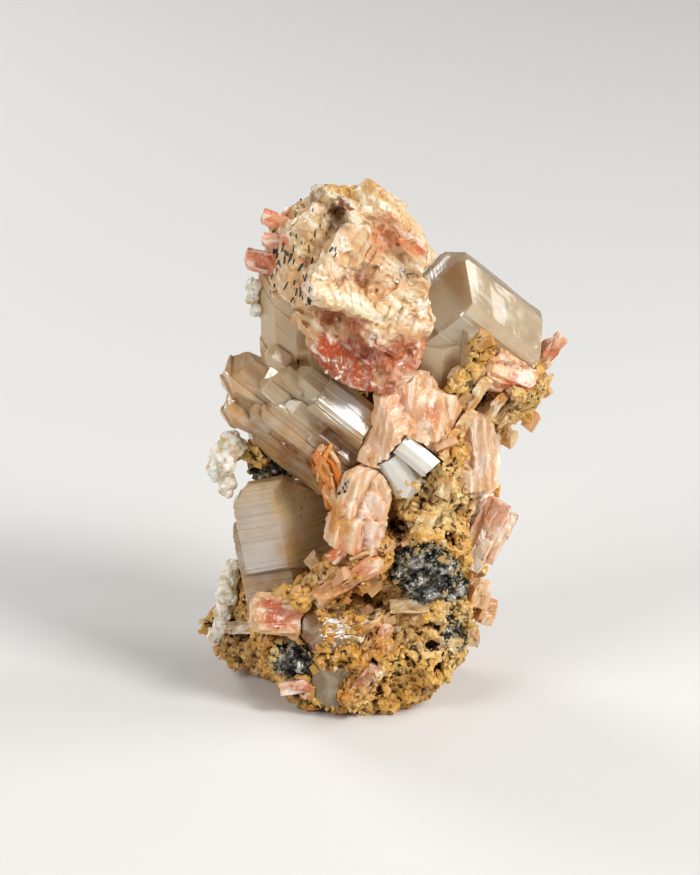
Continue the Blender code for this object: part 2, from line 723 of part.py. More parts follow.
CRYSTAL_NODES = {
    "cerussite_left": ("cerussite", LEFT_CRYSTAL),
    "cerussite_cluster": ("cerussite", CLUSTER),
    "cerussite_right": ("cerussite", RIGHT_CRYSTAL),
    "cerussite_small": ("cerussite", SMALL_CRYSTAL),
    "cerussite_foot": ("cerussite", FOOT_CRYSTAL),
    "cerussite_base": ("cerussite", BASE_CRYSTAL),
    **{name: ("cerussite", crystals) for name, crystals in BACK_CRYSTALS.items()},
    "barite_blade_front": ("barite", BLADE_FRONT),
    "barite_blade_low": ("barite", BLADE_LOW),
    "barite_blades_middle": ("barite", BLADES_MIDDLE),
    "barite_splinters": ("barite", SPLINTERS),
    "barite_ledge_blade": ("barite", LEDGE_BLADE),
    "barite_blades_right": ("barite", BLADES_RIGHT),
    "barite_patch_right": ("barite", PATCH_RIGHT),
    "barite_tip": ("barite", TIP),
    "barite_plates_side": ("barite", PLATES_SIDE),
    "barite_knobs_side": ("barite", KNOBS_SIDE),
    **{name: ("barite", plates) for name, plates in BACK_PLATES.items()},
}


def meet(first, second):
    """True if the boxes of two objects overlap."""
    for a, b in ((first, second), (second, first)):
        low = [min(vertex.co[i] for vertex in a.data.vertices) for i in range(3)]
        high = [max(vertex.co[i] for vertex in b.data.vertices) for i in range(3)]
        if any(l > h for l, h in zip(low, high)):
            return False
    return True


def build():
    clear_scene()
    home = bpy.data.collections.new("Cerussite")
    bpy.context.scene.collection.children.link(home)
    settled = []  # (object, its cutter), in the order in which they take their room

    ground = as_object("ground", flat_faced((0, 0, -20), (0, 0, 1), (0, -1, 0), (90, 90, 40), []))

    def settle(thing, mineral, room):
        for cutter in [ground] + [taken for _, taken in settled]:
            if meet(thing, cutter):
                # the exact solver can lose a whole rough mass here
                combine(thing, cutter, "DIFFERENCE", "MANIFOLD")
        largest_part(thing)
        thing.data.materials.clear()
        thing.data.materials.append(material(mineral))
        room.hide_render = True
        room.display_type = "WIRE"
        settled.append((thing, room))

    for name, (mineral, crystals) in CRYSTAL_NODES.items():
        thing = grown_together(name, crystals)
        settle(thing, mineral, grown_together(name + "_room", crystals, HAIR))
        if name == "cerussite_base":
            mass = head()
            settle(mass, "barite", swollen(mass, 1.3 * HAIR))
    for name in GALENA:
        mass = galena(name)
        settle(mass, "galena", swollen(mass, 1.3 * HAIR))
    for name in BEADS:
        mass = beads(name)
        settle(mass, "calcite", swollen(mass, 1.3 * HAIR))
    mass = matrix_mass()
    settle(mass, "matrix", swollen(mass, HAIR))
    bpy.data.objects.remove(ground)
    for thing, room in settled:
        bpy.data.objects.remove(room)
        thing.data.transform(Matrix.Translation(mm(*TO_MIDDLE)))
        bpy.context.scene.collection.objects.unlink(thing)
        home.objects.link(thing)


build()
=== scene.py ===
"""Cerussite on barite and limonite: the finish of each mineral, put on the specimen's solids.

Lengths are in metres, +Z is up and the viewer's side is -Y. Places on the specimen are given in
millimetres from the foot, through at().
"""

import functools
import math

import bmesh
import bpy
import numpy as np
from mathutils import Matrix, Vector, kdtree, noise


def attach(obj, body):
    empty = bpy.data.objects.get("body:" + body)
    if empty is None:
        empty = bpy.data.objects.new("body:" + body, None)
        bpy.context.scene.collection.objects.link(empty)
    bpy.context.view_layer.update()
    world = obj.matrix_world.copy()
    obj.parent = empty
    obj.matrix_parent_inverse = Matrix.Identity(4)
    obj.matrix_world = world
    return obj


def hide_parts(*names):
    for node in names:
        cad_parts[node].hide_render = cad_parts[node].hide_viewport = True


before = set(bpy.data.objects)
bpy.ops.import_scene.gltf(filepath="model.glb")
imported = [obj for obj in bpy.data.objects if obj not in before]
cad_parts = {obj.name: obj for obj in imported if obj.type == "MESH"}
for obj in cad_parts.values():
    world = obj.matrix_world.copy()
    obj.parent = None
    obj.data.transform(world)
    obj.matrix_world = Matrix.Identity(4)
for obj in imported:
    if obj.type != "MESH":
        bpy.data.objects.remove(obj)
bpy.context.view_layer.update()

# Limonite matrix
# The specimen's ground mass: rusty yellow iron hydroxide, a soft crust that has eaten into older barite and
# left a boxwork of pits, thin walls and loose grains. Every crystal is rooted in it.

MM = 0.001
TO_MIDDLE = Vector((0.511, -2.675, 0))  # the shift that brings the footprint's middle to the origin


def at(x, y, z):
    return (Vector((x, y, z)) + TO_MIDDLE) * MM


def unit(direction):
    return Vector(direction).normalized()


def only(piece):
    bpy.ops.object.select_all(action="DESELECT")
    piece.select_set(True)
    bpy.context.view_layer.objects.active = piece


def apply_modifiers(piece):
    only(piece)
    for modifier in list(piece.modifiers):
        bpy.ops.object.modifier_apply(modifier=modifier.name)


def new_piece(name, mesh):
    piece = bpy.data.objects.new(name, mesh)
    bpy.context.collection.objects.link(piece)
    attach(piece, "root")
    return piece


def grown_from(node, name):
    """A piece that starts as a node's solid, with the loose triangles joined, and stands for that node."""
    piece = new_piece(name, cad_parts[node].data.copy())
    piece.data.materials.clear()
    only(piece)
    bpy.ops.object.mode_set(mode="EDIT")
    bpy.ops.mesh.select_all(action="SELECT")
    bpy.ops.mesh.remove_doubles(threshold=0.002 * MM)
    bpy.ops.object.mode_set(mode="OBJECT")
    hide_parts(node)
    return piece


def points_of(piece):
    count = len(piece.data.vertices)
    points = np.empty(count * 3)
    piece.data.vertices.foreach_get("co", points)
    return points.reshape(-1, 3)


def normals_of(piece):
    count = len(piece.data.vertices)
    normals = np.empty(count * 3)
    piece.data.vertices.foreach_get("normal", normals)
    return normals.reshape(-1, 3)


def put_points(piece, points):
    """Writes the points back. None goes below the surface that the specimen stands on."""
    points[:, 2] = np.maximum(points[:, 2], 0.0)
    piece.data.vertices.foreach_set("co", points.ravel())
    piece.data.update()


def rough_skin(piece, voxel, layers):
    """Remeshes the piece and moves its skin by textures, each a pattern, its size and its height in mm."""
    skin = piece.modifiers.new("Skin", "REMESH")
    skin.mode = "VOXEL"
    skin.voxel_size = voxel * MM
    for pattern, size, height in layers:
        texture = bpy.data.textures.new(f"{piece.name}_{pattern.lower()}", pattern)
        texture.noise_scale = size * MM
        push = piece.modifiers.new(pattern, "DISPLACE")
        push.texture = texture
        push.texture_coords = "LOCAL"
        push.strength = height * MM
    apply_modifiers(piece)
    put_points(piece, points_of(piece))


def mark_hollows(piece, looks):
    """Stores how far each point lies below its surroundings, 0 on ridges and 1 in pits, as the mask for
    painted shade.

    Each look has how far round it goes, in edges, and the depth in mm that counts as a pit.
    """
    points = points_of(piece)
    normals = normals_of(piece)
    edges = np.empty(len(piece.data.edges) * 2, dtype=np.int64)
    piece.data.edges.foreach_get("vertices", edges)
    a, b = edges[0::2], edges[1::2]
    links = np.maximum(np.bincount(edges, minlength=len(points)), 1).reshape(-1, 1)
    hollow = np.zeros(len(points))
    for reach, depth in looks:
        smooth = points.copy()
        for _ in range(reach):
            total = np.stack(
                [
                    np.bincount(a, smooth[b, i], len(points)) + np.bincount(b, smooth[a, i], len(points))
                    for i in range(3)
                ],
                axis=1,
            )
            smooth = total / links
        below = ((smooth - points) * normals).sum(axis=1)
        hollow = np.maximum(hollow, np.clip(0.5 + 0.5 * below / (depth * MM), 0, 1))
    layer = piece.data.attributes.new("hollow", "FLOAT", "POINT")
    layer.data.foreach_set("value", hollow.astype(np.float32))


def linear(colour):
    """An sRGB hex colour as linear red, green, blue and alpha."""
    values = [int(colour[i : i + 2], 16) / 255 for i in (1, 3, 5)]
    return (*[v / 12.92 if v <= 0.04045 else ((v + 0.055) / 1.055) ** 2.4 for v in values], 1)


def add_node(tree, kind, settings=None, links=None):
    """Adds a node. Settings are options, input values or a ramp's stops. Links are sources by input.

    A source that is a node gives its first output in use. A mix node mixes colours.
    """
    made = tree.nodes.new("ShaderNode" + kind)
    if kind == "Mix":
        made.data_type = "RGBA"
    for name, value in (settings or {}).items():
        if isinstance(value, str) and value.startswith("#"):
            value = linear(value)
        if name == "stops":
            ramp = made.color_ramp
            while len(ramp.elements) < len(value):
                ramp.elements.new(0.5)
            for element, (position, colour) in zip(ramp.elements, value):
                element.position = position
                element.color = linear(colour)
        elif isinstance(name, str) and hasattr(made, name):
            setattr(made, name, value)
        else:
            made.inputs[name].default_value = value
    for name, source in (links or {}).items():
        if isinstance(source, bpy.types.Node):
            source = next(output for output in source.outputs if output.enabled)
        tree.links.new(source, made.inputs[name])
    return made


def new_material(name):
    """A material without nodes, the function that adds one to it, and the piece's own coordinates."""
    material = bpy.data.materials.new(name)
    material.use_nodes = True
    material.node_tree.nodes.clear()
    add = functools.partial(add_node, material.node_tree)
    return material, add, add("TexCoord").outputs["Object"]


def per(size):
    """A pattern's scale for a feature of this size in mm."""
    return 1 / (size * MM)


def limonite(name):
    """Limonite crust: earthy and matte, golden on fresh rims, rust brown in hollows and darkened there
    further by painted shade, creamy with clay.
    """
    material, add, place = new_material(name)
    grains = add("TexNoise", {"Scale": per(0.8), "Detail": 7, "Roughness": 0.75}, {0: place})
    painted = add("Attribute", {"attribute_name": "painted"})
    hollow = add("Attribute", {"attribute_name": "hollow"})
    grain_colour = add(
        "ValToRGB", {"stops": [(0.36, "#5c2c0a"), (0.44, "#b87828"), (0.52, "#e2ac4c"), (0.61, "#f6e2ac")]},
        {0: grains},
    )
    mixed = add("Mix", {0: 0.45}, {6: painted, 7: grain_colour})
    # Painted shade: the deeper the hollow, the nearer the colour goes to a near-black brown.
    depth = add(
        "MapRange", {"From Min": 0.5, "From Max": 0.85, "To Min": 0, "To Max": 0.96},
        {0: hollow.outputs["Fac"]},
    )
    shaded_in_pits = add("Mix", {7: "#341402"}, {0: depth, 6: mixed})
    fine = add("TexNoise", {"Scale": per(0.25), "Detail": 3}, {0: place})
    bump = add("Bump", {"Strength": 0.6, "Distance": 0.1 * MM}, {"Height": fine})
    surface = add(
        "BsdfPrincipled", {"Roughness": 0.8, "Specular IOR Level": 0.35},
        {"Base Color": shaded_in_pits, "Normal": bump},
    )
    add("OutputMaterial", links={"Surface": surface})
    return material


def colours_at(points, base, patches):
    """A linear colour for each point: the base, with blurred patches of place, radius in mm and colour."""
    wave, sway = 2.2, 1.3  # mm, the size of the waves in a patch's border and how far they move it
    warped = points + np.array([noise.noise_vector(Vector(p) / (wave * MM)) for p in points]) * sway * MM
    colours = np.tile(np.array(linear(base)), (len(points), 1))
    for place, radius, colour in patches:
        reach = np.linalg.norm(warped - np.array(at(*place)), axis=1) / (radius * MM)
        # full within 0.6 of the radius, none from 1.1
        share = np.clip(2.2 - 2 * reach, 0, 1).reshape(-1, 1)
        colours = colours * (1 - share) + np.array(linear(colour)) * share
    return colours


def keep_colours(piece, colours):
    layer = piece.data.color_attributes.new("painted", "FLOAT_COLOR", "POINT")
    layer.data.foreach_set("color", colours.astype(np.float32).ravel())


def sculpt(piece, pushes):
    """Moves the skin near each line of places by a vector in mm, less with distance up to a radius."""
    points = points_of(piece)
    for line, radius, push in pushes:
        ends = [np.array(at(*place)) for place in line]
        reach = np.full(len(points), np.inf)
        for start, end in zip(ends, ends[1:] or ends):
            run = end - start
            part = np.clip((points - start) @ run / max(run @ run, 1e-12), 0, 1).reshape(-1, 1)
            reach = np.minimum(reach, np.linalg.norm(points - start - part * run, axis=1))
        share = np.clip(1 - (reach / (radius * MM)) ** 2, 0, 1) ** 1.5
        points = points + share.reshape(-1, 1) * np.array(push) * MM
    put_points(piece, points)


def break_up(piece, normal, step, cell, spread, seed, grain=(0, 0, 0), slope=0.12):
    """Breaks the skin into flat steps, as a cleaved or brittle mineral breaks.

    Each cell of this size in mm has levels of its own, about the step in mm apart, closer in some places
    than in others. They lie square to the normal, turned at random by the spread. The cells are drawn out
    along the grain, and slope is the share of a step that stays unbroken.
    """
    draw = np.random.default_rng(seed)
    points = points_of(piece) / MM
    squeeze = np.eye(3) - 0.7 * np.outer(grain, grain)
    places = points @ squeeze
    low, high = places.min(axis=0), places.max(axis=0)
    count = int(np.prod((high - low) / cell)) + 8
    middles = low + draw.random((count, 3)) * (high - low)
    squares = np.array(unit(normal)) + draw.normal(0, spread, (count, 3))
    squares /= np.linalg.norm(squares, axis=1, keepdims=True)
    starts = draw.random(count)
    tree = kdtree.KDTree(count)
    for i, middle in enumerate(middles):
        tree.insert(middle, i)
    tree.balance()
    cells = np.array([tree.find(place)[1] for place in places])
    steps = (step * draw.uniform(0.6, 1.7, count))[cells]
    even = (points * squares[cells]).sum(axis=1) / steps + starts[cells]
    sway, pitch = 0.25, 1.7  # how far the levels shift by turns, in steps, and how quickly
    height = even + sway * np.sin(pitch * even)
    part = height - np.floor(height)
    # a broken step rises in its last 0.3
    broken = slope * part + (1 - slope) * np.clip((part - 0.7) / 0.3, 0, 1)
    shift = (broken - part + 0.35 * (1 - slope)) * steps / (1 + sway * pitch * np.cos(pitch * even))
    put_points(piece, (points + squares[cells] * shift.reshape(-1, 1)) * MM)


TRIES = 30  # places drawn for each one wanted


def spots_on(carrier, count, draw, allowed):
    """Random places on a piece's skin, with their normals, where allowed(x, y, z in mm, normal) is true."""
    mesh = carrier.data
    mesh.calc_loop_triangles()
    corners = np.empty(len(mesh.loop_triangles) * 3, dtype=np.int64)
    mesh.loop_triangles.foreach_get("vertices", corners)
    corners = corners.reshape(-1, 3)
    points = points_of(carrier)
    p, q, r = (points[corners[:, i]] for i in range(3))
    cross = np.cross(q - p, r - p)
    area = np.linalg.norm(cross, axis=1)
    spots = []
    for index in draw.choice(len(area), size=count * TRIES, p=area / area.sum()):
        u, v = sorted(draw.random(2))
        spot = p[index] * u + q[index] * (v - u) + r[index] * (1 - v)
        normal = cross[index] / max(area[index], 1e-30)
        if spot[2] > 0.4 * MM and allowed(*(Vector(spot) / MM - TO_MIDDLE), normal):
            spots.append((Vector(spot), Vector(normal)))
        if len(spots) == count:
            break
    return spots


def anywhere(x, y, z, normal):
    return True


def near(reach, *places):
    """A test that is true within the reach in mm of any of the places."""
    return lambda x, y, z, normal: any(math.dist((x, y, z), place) < reach for place in places)


MATRIX_PATCHES = [
    # the ledge
    ((-22, 0, 8), 5, "#a88d62"),
    ((-20, -2, 5), 4, "#a08258"),
    ((-15.7, -9.9, 9.6), 3, "#b9702c"),
    ((-13.6, -7.5, 17.7), 2.6, "#dfbd74"),
    # the band under the left crystal
    ((-7.4, -8, 22.1), 3.4, "#dcaa5c"),
    ((-8.3, -9.1, 20.3), 1.4, "#ecd2a8"),
    ((-2, -11, 19), 4, "#c98a44"),
    ((-10, -9, 17.5), 3, "#d8aa5e"),
    # the lower front
    ((-6.7, -12.1, 12.9), 2.4, "#e2c47c"),
    ((-5.2, -11, 13.5), 2.4, "#ecd8b0"),
    ((-0.2, -11.7, 12.4), 2.4, "#c9824e"),
    ((3, -10.9, 12), 2.4, "#a4875c"),
    ((3.7, -8.9, 15.5), 2.6, "#cdb27c"),
    ((-2.5, -12.5, 5.9), 2.6, "#a56f4a"),
    ((2.4, -10.1, 4.8), 4, "#cfa050"),
    ((-2.9, -12.7, 2), 2.6, "#dcb570"),
    ((-12.3, -11.1, 4), 2.6, "#d9b49a"),
    ((9, -7.5, 12.5), 4.5, "#dcc894"),
    ((8.2, -9, 10.6), 1.8, "#8f928c"),
    ((5.1, -11.1, 19), 2.6, "#9c8c50"),
    ((10, -7, 5), 3.5, "#c4ae76"),
    # the yellow column
    ((8.5, -7, 30.7), 5.5, "#ead49c"),
    ((4, -7, 29), 3, "#d8b878"),
    # painted shade in two cavities of the column, this row and the next
    ((1.9, -5, 26.6), 2.6, "#5c3210"),
    ((10.8, -6.9, 32.9), 1.6, "#6a3c14"),
    ((7, -6.2, 35.2), 2.4, "#e4cc90"),
    ((12.9, -0.3, 22.6), 4.5, "#e8d0b0"),
    ((10.3, -7.4, 17.8), 2, "#c06a24"),
    # the arm
    ((11.9, -3.7, 46.5), 3, "#dab56c"),
    ((13.3, -2.6, 43.1), 2.6, "#9a6226"),
    ((16.1, -2.7, 40.9), 3, "#e6d0a0"),
    ((20, 1, 43), 4, "#dcc494"),
    ((8.7, -6.7, 38.8), 1.6, "#c96a3a"),
    ((-18.5, -0.1, 34.8), 3, "#dcc27c"),
    ((2.5, -12, 7), 2.4, "#ecca7c"),
    ((6, -11, 9.5), 2, "#f2dca0"),
    ((0.5, -12.4, 10.5), 1.5, "#a8562a"),
    ((9, -9, 6.5), 2.4, "#dcc27c"),
    ((4.5, -11.5, 4), 2, "#d89a3c"),
    ((11, -6, 10), 2.6, "#b8a468"),
    ((7.5, -10, 3), 1.8, "#8c8468"),
    ((-14, -9, 6), 2.4, "#c8b484"),
    ((-7, -11.5, 9.6), 1.6, "#e0a44c"),
]
CAVITIES = [
    ([(1.9, -5.6, 27.2), (1.2, -6.6, 24.6)], 2.4, (0, 3, 0)),
    ([(-6, -10.8, 18.6), (2, -10.8, 19.6)], 1.7, (0, 2.4, 0)),
    ([(12.6, -3, 42.4), (14, -2.6, 44.2)], 1.5, (0, 2.6, 0)),
    ([(15.6, -2.4, 45.2)], 1.3, (0, 2, 0)),
    ([(10.4, -4.6, 44.4)], 1.3, (0, 2, 0)),
    ([(10.8, -6.9, 32.9)], 1.5, (0, 2, 0)),
    ([(10.3, -7.4, 17.8)], 1.7, (0, 2, 0)),
    ([(3, -10.9, 12.6), (5, -10.4, 11.6)], 1.4, (0, 1.8, 0)),
    ([(-15, -10, 11), (-12, -11, 10.4)], 1.2, (0, 1.6, 0)),
    ([(0.5, -12.4, 7.6), (-0.5, -12.4, 3.4)], 1.3, (0, 1.8, 0)),
    ([(3.2, -12, 9), (3.6, -12, 4.4)], 1.1, (0, 2.4, 0)),
    ([(-1.5, -12.5, 9.5), (-1.8, -12.5, 6.5)], 1, (0, 2, 0)),
    ([(7.6, -10.2, 8.4), (7, -10.4, 5)], 1.2, (0, 2.2, 0)),
    ([(10.4, -7.4, 12.4), (10, -7.8, 9.4)], 1.2, (-0.6, 1.8, 0)),
    ([(5.4, -11.2, 13.4), (7.6, -10.2, 12.6)], 1.1, (0, 2, 0)),
]
ZONE_TONES = ["#efdcb0", "#b86f28", "#96602c", "#e0b060", "#a8905c", "#dcae88", "#f2e6c6", "#c88432"]
matrix = grown_from("matrix", "matrix_crust")
rough_skin(matrix, 0.26, [("CLOUDS", 3, 2)])
vug_draw = np.random.default_rng(21)
vugs = [
    ([tuple(spot / MM - TO_MIDDLE)], vug_draw.uniform(0.9, 2.4), tuple(-normal * vug_draw.uniform(1, 2.6)))
    for spot, normal in spots_on(matrix, 190, vug_draw, anywhere)
]
sculpt(matrix, vugs + CAVITIES)
zones = [
    (
        tuple(spot / MM - TO_MIDDLE), vug_draw.uniform(1.2, 3.2),
        ZONE_TONES[int(vug_draw.integers(len(ZONE_TONES)))],
    )
    for spot, _ in spots_on(matrix, 110, vug_draw, anywhere)
]
MATRIX_PATCHES = zones + MATRIX_PATCHES
break_up(matrix, (0, 0, 1), 1.3, 2.8, 9, 3)
break_up(matrix, (0, 0, 1), 0.5, 1.1, 9, 4)
rough = matrix.modifiers.new("Rough", "DISPLACE")
rough.texture = bpy.data.textures.new("crumbly", "CLOUDS")
rough.texture.noise_scale = 0.5 * MM
rough.texture_coords = "LOCAL"
rough.strength = 0.35 * MM
matrix.modifiers.new("Thin", "DECIMATE").ratio = 0.53
apply_modifiers(matrix)
put_points(matrix, points_of(matrix))
mark_hollows(matrix, [(3, 0.25), (12, 0.9)])
keep_colours(matrix, colours_at(points_of(matrix), "#d2a255", MATRIX_PATCHES))
matrix.data.materials.append(limonite("limonite_crust"))

# Crumbs of the matrix
# Loose grains and thin broken plates of barite and limonite that stand all over the crust, glued to it by
# more limonite. They make the crust look open and sharp.


def chip(corner, thick, wide=0.62):
    """Corners and faces of an angular chip one unit long: a box with two corners knocked off."""
    solid = bmesh.new()
    bmesh.ops.create_cube(solid, size=1, matrix=Matrix.Diagonal((1, wide, thick, 1)))
    for normal, reach in (
        ((1, 0.8, 0.3), corner), ((-0.7, 1, -0.5), corner * 1.1), ((0.5, -1, 0.6), corner)
    ):
        direction = unit(normal)
        cut = bmesh.ops.bisect_plane(
            solid, geom=solid.verts[:] + solid.edges[:] + solid.faces[:], dist=1e-6,
            plane_co=direction * reach, plane_no=direction, clear_outer=True,
        )
        rim = [edge for edge in cut["geom_cut"] if isinstance(edge, bmesh.types.BMEdge)]
        if rim:
            bmesh.ops.contextual_create(solid, geom=rim)
    bmesh.ops.triangulate(solid, faces=solid.faces[:])
    bmesh.ops.recalc_face_normals(solid, faces=solid.faces[:])
    solid.verts.index_update()
    corners = np.array([vertex.co[:] for vertex in solid.verts])
    faces = np.array([[vertex.index for vertex in face.verts] for face in solid.faces])
    solid.free()
    return corners, faces


GRAIN = chip(0.4, 0.7)
FLAKE = chip(0.42, 0.22)
BLADE = chip(0.46, 0.12)
NEEDLE = chip(0.47, 0.09, 0.24)
SPLINTER = chip(0.33, 0.16, 0.34)
CUBE = chip(2, 0.62)


def scatter(
    name, slot, finish, carrier, count, where, draw, shapes, size, lie, sink, palette, own=0.6, patches=(),
    along=None,
):
    """One piece of many chips on a carrier. Sizes are drawn between two limits in mm, small ones oftener.

    Lie says how flat the chips lie, and along is the direction that their length keeps near. Each has a
    palette colour, mixed by the share own with the colour of the ground there.
    """
    spots = spots_on(carrier, count, draw, where)
    ground = colours_at(np.array([spot for spot, _ in spots]), palette[0], patches)
    all_points, all_faces, colours = [], [], []
    start = 0
    for (spot, normal), local in zip(spots, ground):
        corners, faces = shapes[int(draw.integers(len(shapes)))]
        length = size[0] + (size[1] - size[0]) * draw.random() ** 1.7
        up = (normal * lie + Vector(draw.normal(0, 1, 3)).normalized() * (1 - lie)).normalized()
        if along:
            side = (unit(along) + Vector(draw.normal(0, 0.22, 3))).normalized()
            up = (up - side * up.dot(side)).normalized()
        else:
            side = up.orthogonal().normalized()
            side.rotate(Matrix.Rotation(draw.random() * math.tau, 3, up))
        turn = np.array([side, up.cross(side), up])
        stretch = np.array([1.0, 0.5 + 0.7 * draw.random(), 0.6 + 0.6 * draw.random()])
        placed = (corners * stretch * length * MM) @ turn + np.array(spot - normal * length * MM * sink)
        mine = np.array(linear(palette[int(draw.integers(len(palette)))])) * draw.uniform(0.7, 1.2)
        colours.append(np.tile(mine * own + local * (1 - own), (len(placed), 1)))
        all_points.append(placed)
        all_faces.append(faces + start)
        start += len(placed)
    mesh = bpy.data.meshes.new(name)
    mesh.from_pydata(np.concatenate(all_points), [], np.concatenate(all_faces))
    piece = new_piece(name, mesh)
    put_points(piece, points_of(piece))
    keep_colours(piece, np.clip(np.concatenate(colours), 0, 1))
    piece.data.materials.append(finish)
    return piece


def crumb_material(name, dust_colour, most_dust, roughness, subsurface=0):
    """Broken chips: each has a colour of its own between rust and clean mineral, under some dust."""
    material, add, place = new_material(name)
    own = add("Attribute", {"attribute_name": "painted"})
    dust = add("TexNoise", {"Scale": per(0.7), "Detail": 6}, {0: place})
    amount = add("MapRange", {"From Min": 0.42, "From Max": 0.62, "To Max": most_dust}, {0: dust})
    dusted = add("Mix", {7: dust_colour}, {0: amount, 6: own})
    fine = add("TexNoise", {"Scale": per(0.3), "Detail": 4}, {0: place})
    bump = add("Bump", {"Strength": 0.6, "Distance": 0.1 * MM}, {"Height": fine})
    surface = add(
        "BsdfPrincipled",
        {"Roughness": roughness, "Subsurface Weight": subsurface, "Subsurface Scale": 0.5 * MM},
        {"Base Color": dusted, "Normal": bump},
    )
    add("OutputMaterial", links={"Surface": surface})
    return material


LIMONITE_TONES = ["#dcae58", "#74400e", "#c8842e", "#e4b450", "#eccc7c", "#f6ead0", "#a0601c", "#ecc46c"]
BARITE_TONES = ["#dcb484", "#cf9a62", "#e6cba0", "#ecdab8", "#d59c50", "#e0bc84", "#d6a07a"]
crumb_draw = np.random.default_rng(7)
limonite_crumbs = crumb_material("limonite_grains", "#b47628", 0.4, 0.7)
stained_crumbs = crumb_material("stained_barite_flakes", "#c08436", 0.45, 0.4, 0.1)


def on_arm(x, y, z, normal):
    return x > 7 and z > 36


def on_band(x, y, z, normal):
    return y < -4 and 13 < z < 25 and x < 6


def on_ledge(x, y, z, normal):
    return x < -17


scatter(
    "matrix_grains", "matrix", limonite_crumbs, matrix, 8200, anywhere, crumb_draw, [GRAIN, GRAIN, FLAKE],
    (0.2, 1.15), 0.3, 0.15, LIMONITE_TONES, 0.5, MATRIX_PATCHES,
)

# Thin plates left standing by the dissolved barite: name, where, how many, their length and direction.
BOXWORK = [
    ("boxwork_all_over", anywhere, 620, (0.5, 1.7), None),
    ("boxwork_arm", on_arm, 260, (0.8, 3.2), (0.6, -0.1, 0.75)),
    ("boxwork_band", on_band, 240, (0.7, 3), (0.78, -0.15, 0.45)),
    ("boxwork_ledge", on_ledge, 60, (0.8, 2.6), (0.9, -0.1, 0.2)),
]
for name, where, count, size, along in BOXWORK:
    scatter(
        name, "matrix", stained_crumbs, matrix, count, where, crumb_draw, [BLADE, SPLINTER, SPLINTER, GRAIN],
        size, 0.1, 0.1, BARITE_TONES, 0.55, MATRIX_PATCHES, along,
    )

# Galena
# Lead sulphide in dark grey cubes, broken and dulled by weathering, with their corners standing out of the
# patch. They are the ore from which the cerussite formed.


def galena_material():
    """Tarnished galena: a grey metal under a dull skin, brighter where a cleavage face is fresh."""
    material, add, place = new_material("tarnished_galena")
    skin = add("TexNoise", {"Scale": per(1.3), "Detail": 6}, {0: place})
    colour = add("ValToRGB", {"stops": [(0.38, "#1c1a17"), (0.52, "#5c5a54"), (0.66, "#cdcac1")]}, {0: skin})
    rough = add("MapRange", {"From Min": 0.35, "From Max": 0.65, "To Min": 0.18, "To Max": 0.5}, {0: skin})
    surface = add("BsdfPrincipled", {"Metallic": 0.85}, {"Base Color": colour, "Roughness": rough})
    add("OutputMaterial", links={"Surface": surface})
    return material


def rim_of(patch):
    """A test that is true near a patch's outline, as seen from the front."""
    inner = 0.72  # the share of the reach that isn't rim
    middle = sum((Vector(corner) for corner in patch.bound_box), Vector()) / 8 / MM - TO_MIDDLE
    reach = max(patch.dimensions) / MM / 2
    return lambda x, y, z, normal: math.hypot(x - middle.x, z - middle.z) > inner * reach


GALENA_DUST = ["#a8925e", "#8a7648", "#d6caa6", "#b8964e", "#6e5a34"]
galena_finish = galena_material()
galena_draw = np.random.default_rng(11)
GALENA_RIM = ["#b8a064", "#8c7a4a", "#d6c28a", "#a08048", "#5c5444", "#c8b078"]
galena_crumbs = crumb_material("pale_druse_on_galena", "#9c8c64", 0.3, 0.5)
for node in ("galena_front", "galena_side", "galena_low", "galena_cavity", "galena_right"):
    core = grown_from(node, node + "_core")
    rough_skin(core, 0.14, [("CLOUDS", 1, 0.3)])
    break_up(core, (0, 0, 1), 0.6, 1.1, 9, 6)
    core.data.materials.append(galena_finish)
    cubes = (core, 320, anywhere, galena_draw, [CUBE], (0.2, 1), 0.3, 0.25, ["#808080"])
    scatter(node + "_cubes", "galena", galena_finish, *cubes)
    druse = (core, 130, anywhere, galena_draw, [GRAIN], (0.15, 0.6), 0.3, 0.1, GALENA_DUST)
    scatter(node + "_crumbs", "matrix", galena_crumbs, *druse)
    rim = (core, 90, rim_of(core), galena_draw, [GRAIN, FLAKE], (0.4, 1.5), 0.4, 0.15, GALENA_RIM)
    scatter(core.name + "_rim", "matrix", limonite_crumbs, *rim)

# Barite
# Barium sulphate in thick plates with a perfect cleavage: waxy to pearly, cream at the rims, salmon to
# orange-red inside, and broken into steps and splinters along the plate.


def cleave_off(piece, planes):
    """Takes off what lies beyond each plane, a place and the direction it faces, and leaves a flat face."""
    points = points_of(piece)
    for place, facing in planes:
        facing = np.array(unit(facing))
        # a little of the swell stays, so that the face isn't dead flat
        beyond = np.maximum((points - np.array(at(*place))) @ facing, 0).reshape(-1, 1)
        points = points - 0.85 * beyond * facing
    put_points(piece, points)


def cleave(piece, along, across, spacing, height, seed):
    """Raises ridges along the plate's grain, like the edges of split leaves, and keeps their pattern."""
    along = unit(along)
    across = unit(across)
    third = along.cross(across)
    points = points_of(piece)
    normals = normals_of(piece)
    lifts = np.empty(len(points))
    for i, point in enumerate(points):
        p = Vector(point) / (spacing * MM)
        sample = Vector((p.dot(along) * 0.12 + seed, p.dot(across), p.dot(third) * 0.5))
        value = noise.noise(sample) + 0.5 * noise.noise(sample * 2.3)
        step = math.floor(value * 3) / 3
        lifts[i] = step + 0.4 * (value - step)
    put_points(piece, points + normals * (lifts * height * MM).reshape(-1, 1))
    layer = piece.data.attributes.new("leaf", "FLOAT", "POINT")
    layer.data.foreach_set("value", np.clip(0.5 + lifts, 0, 1).astype(np.float32))


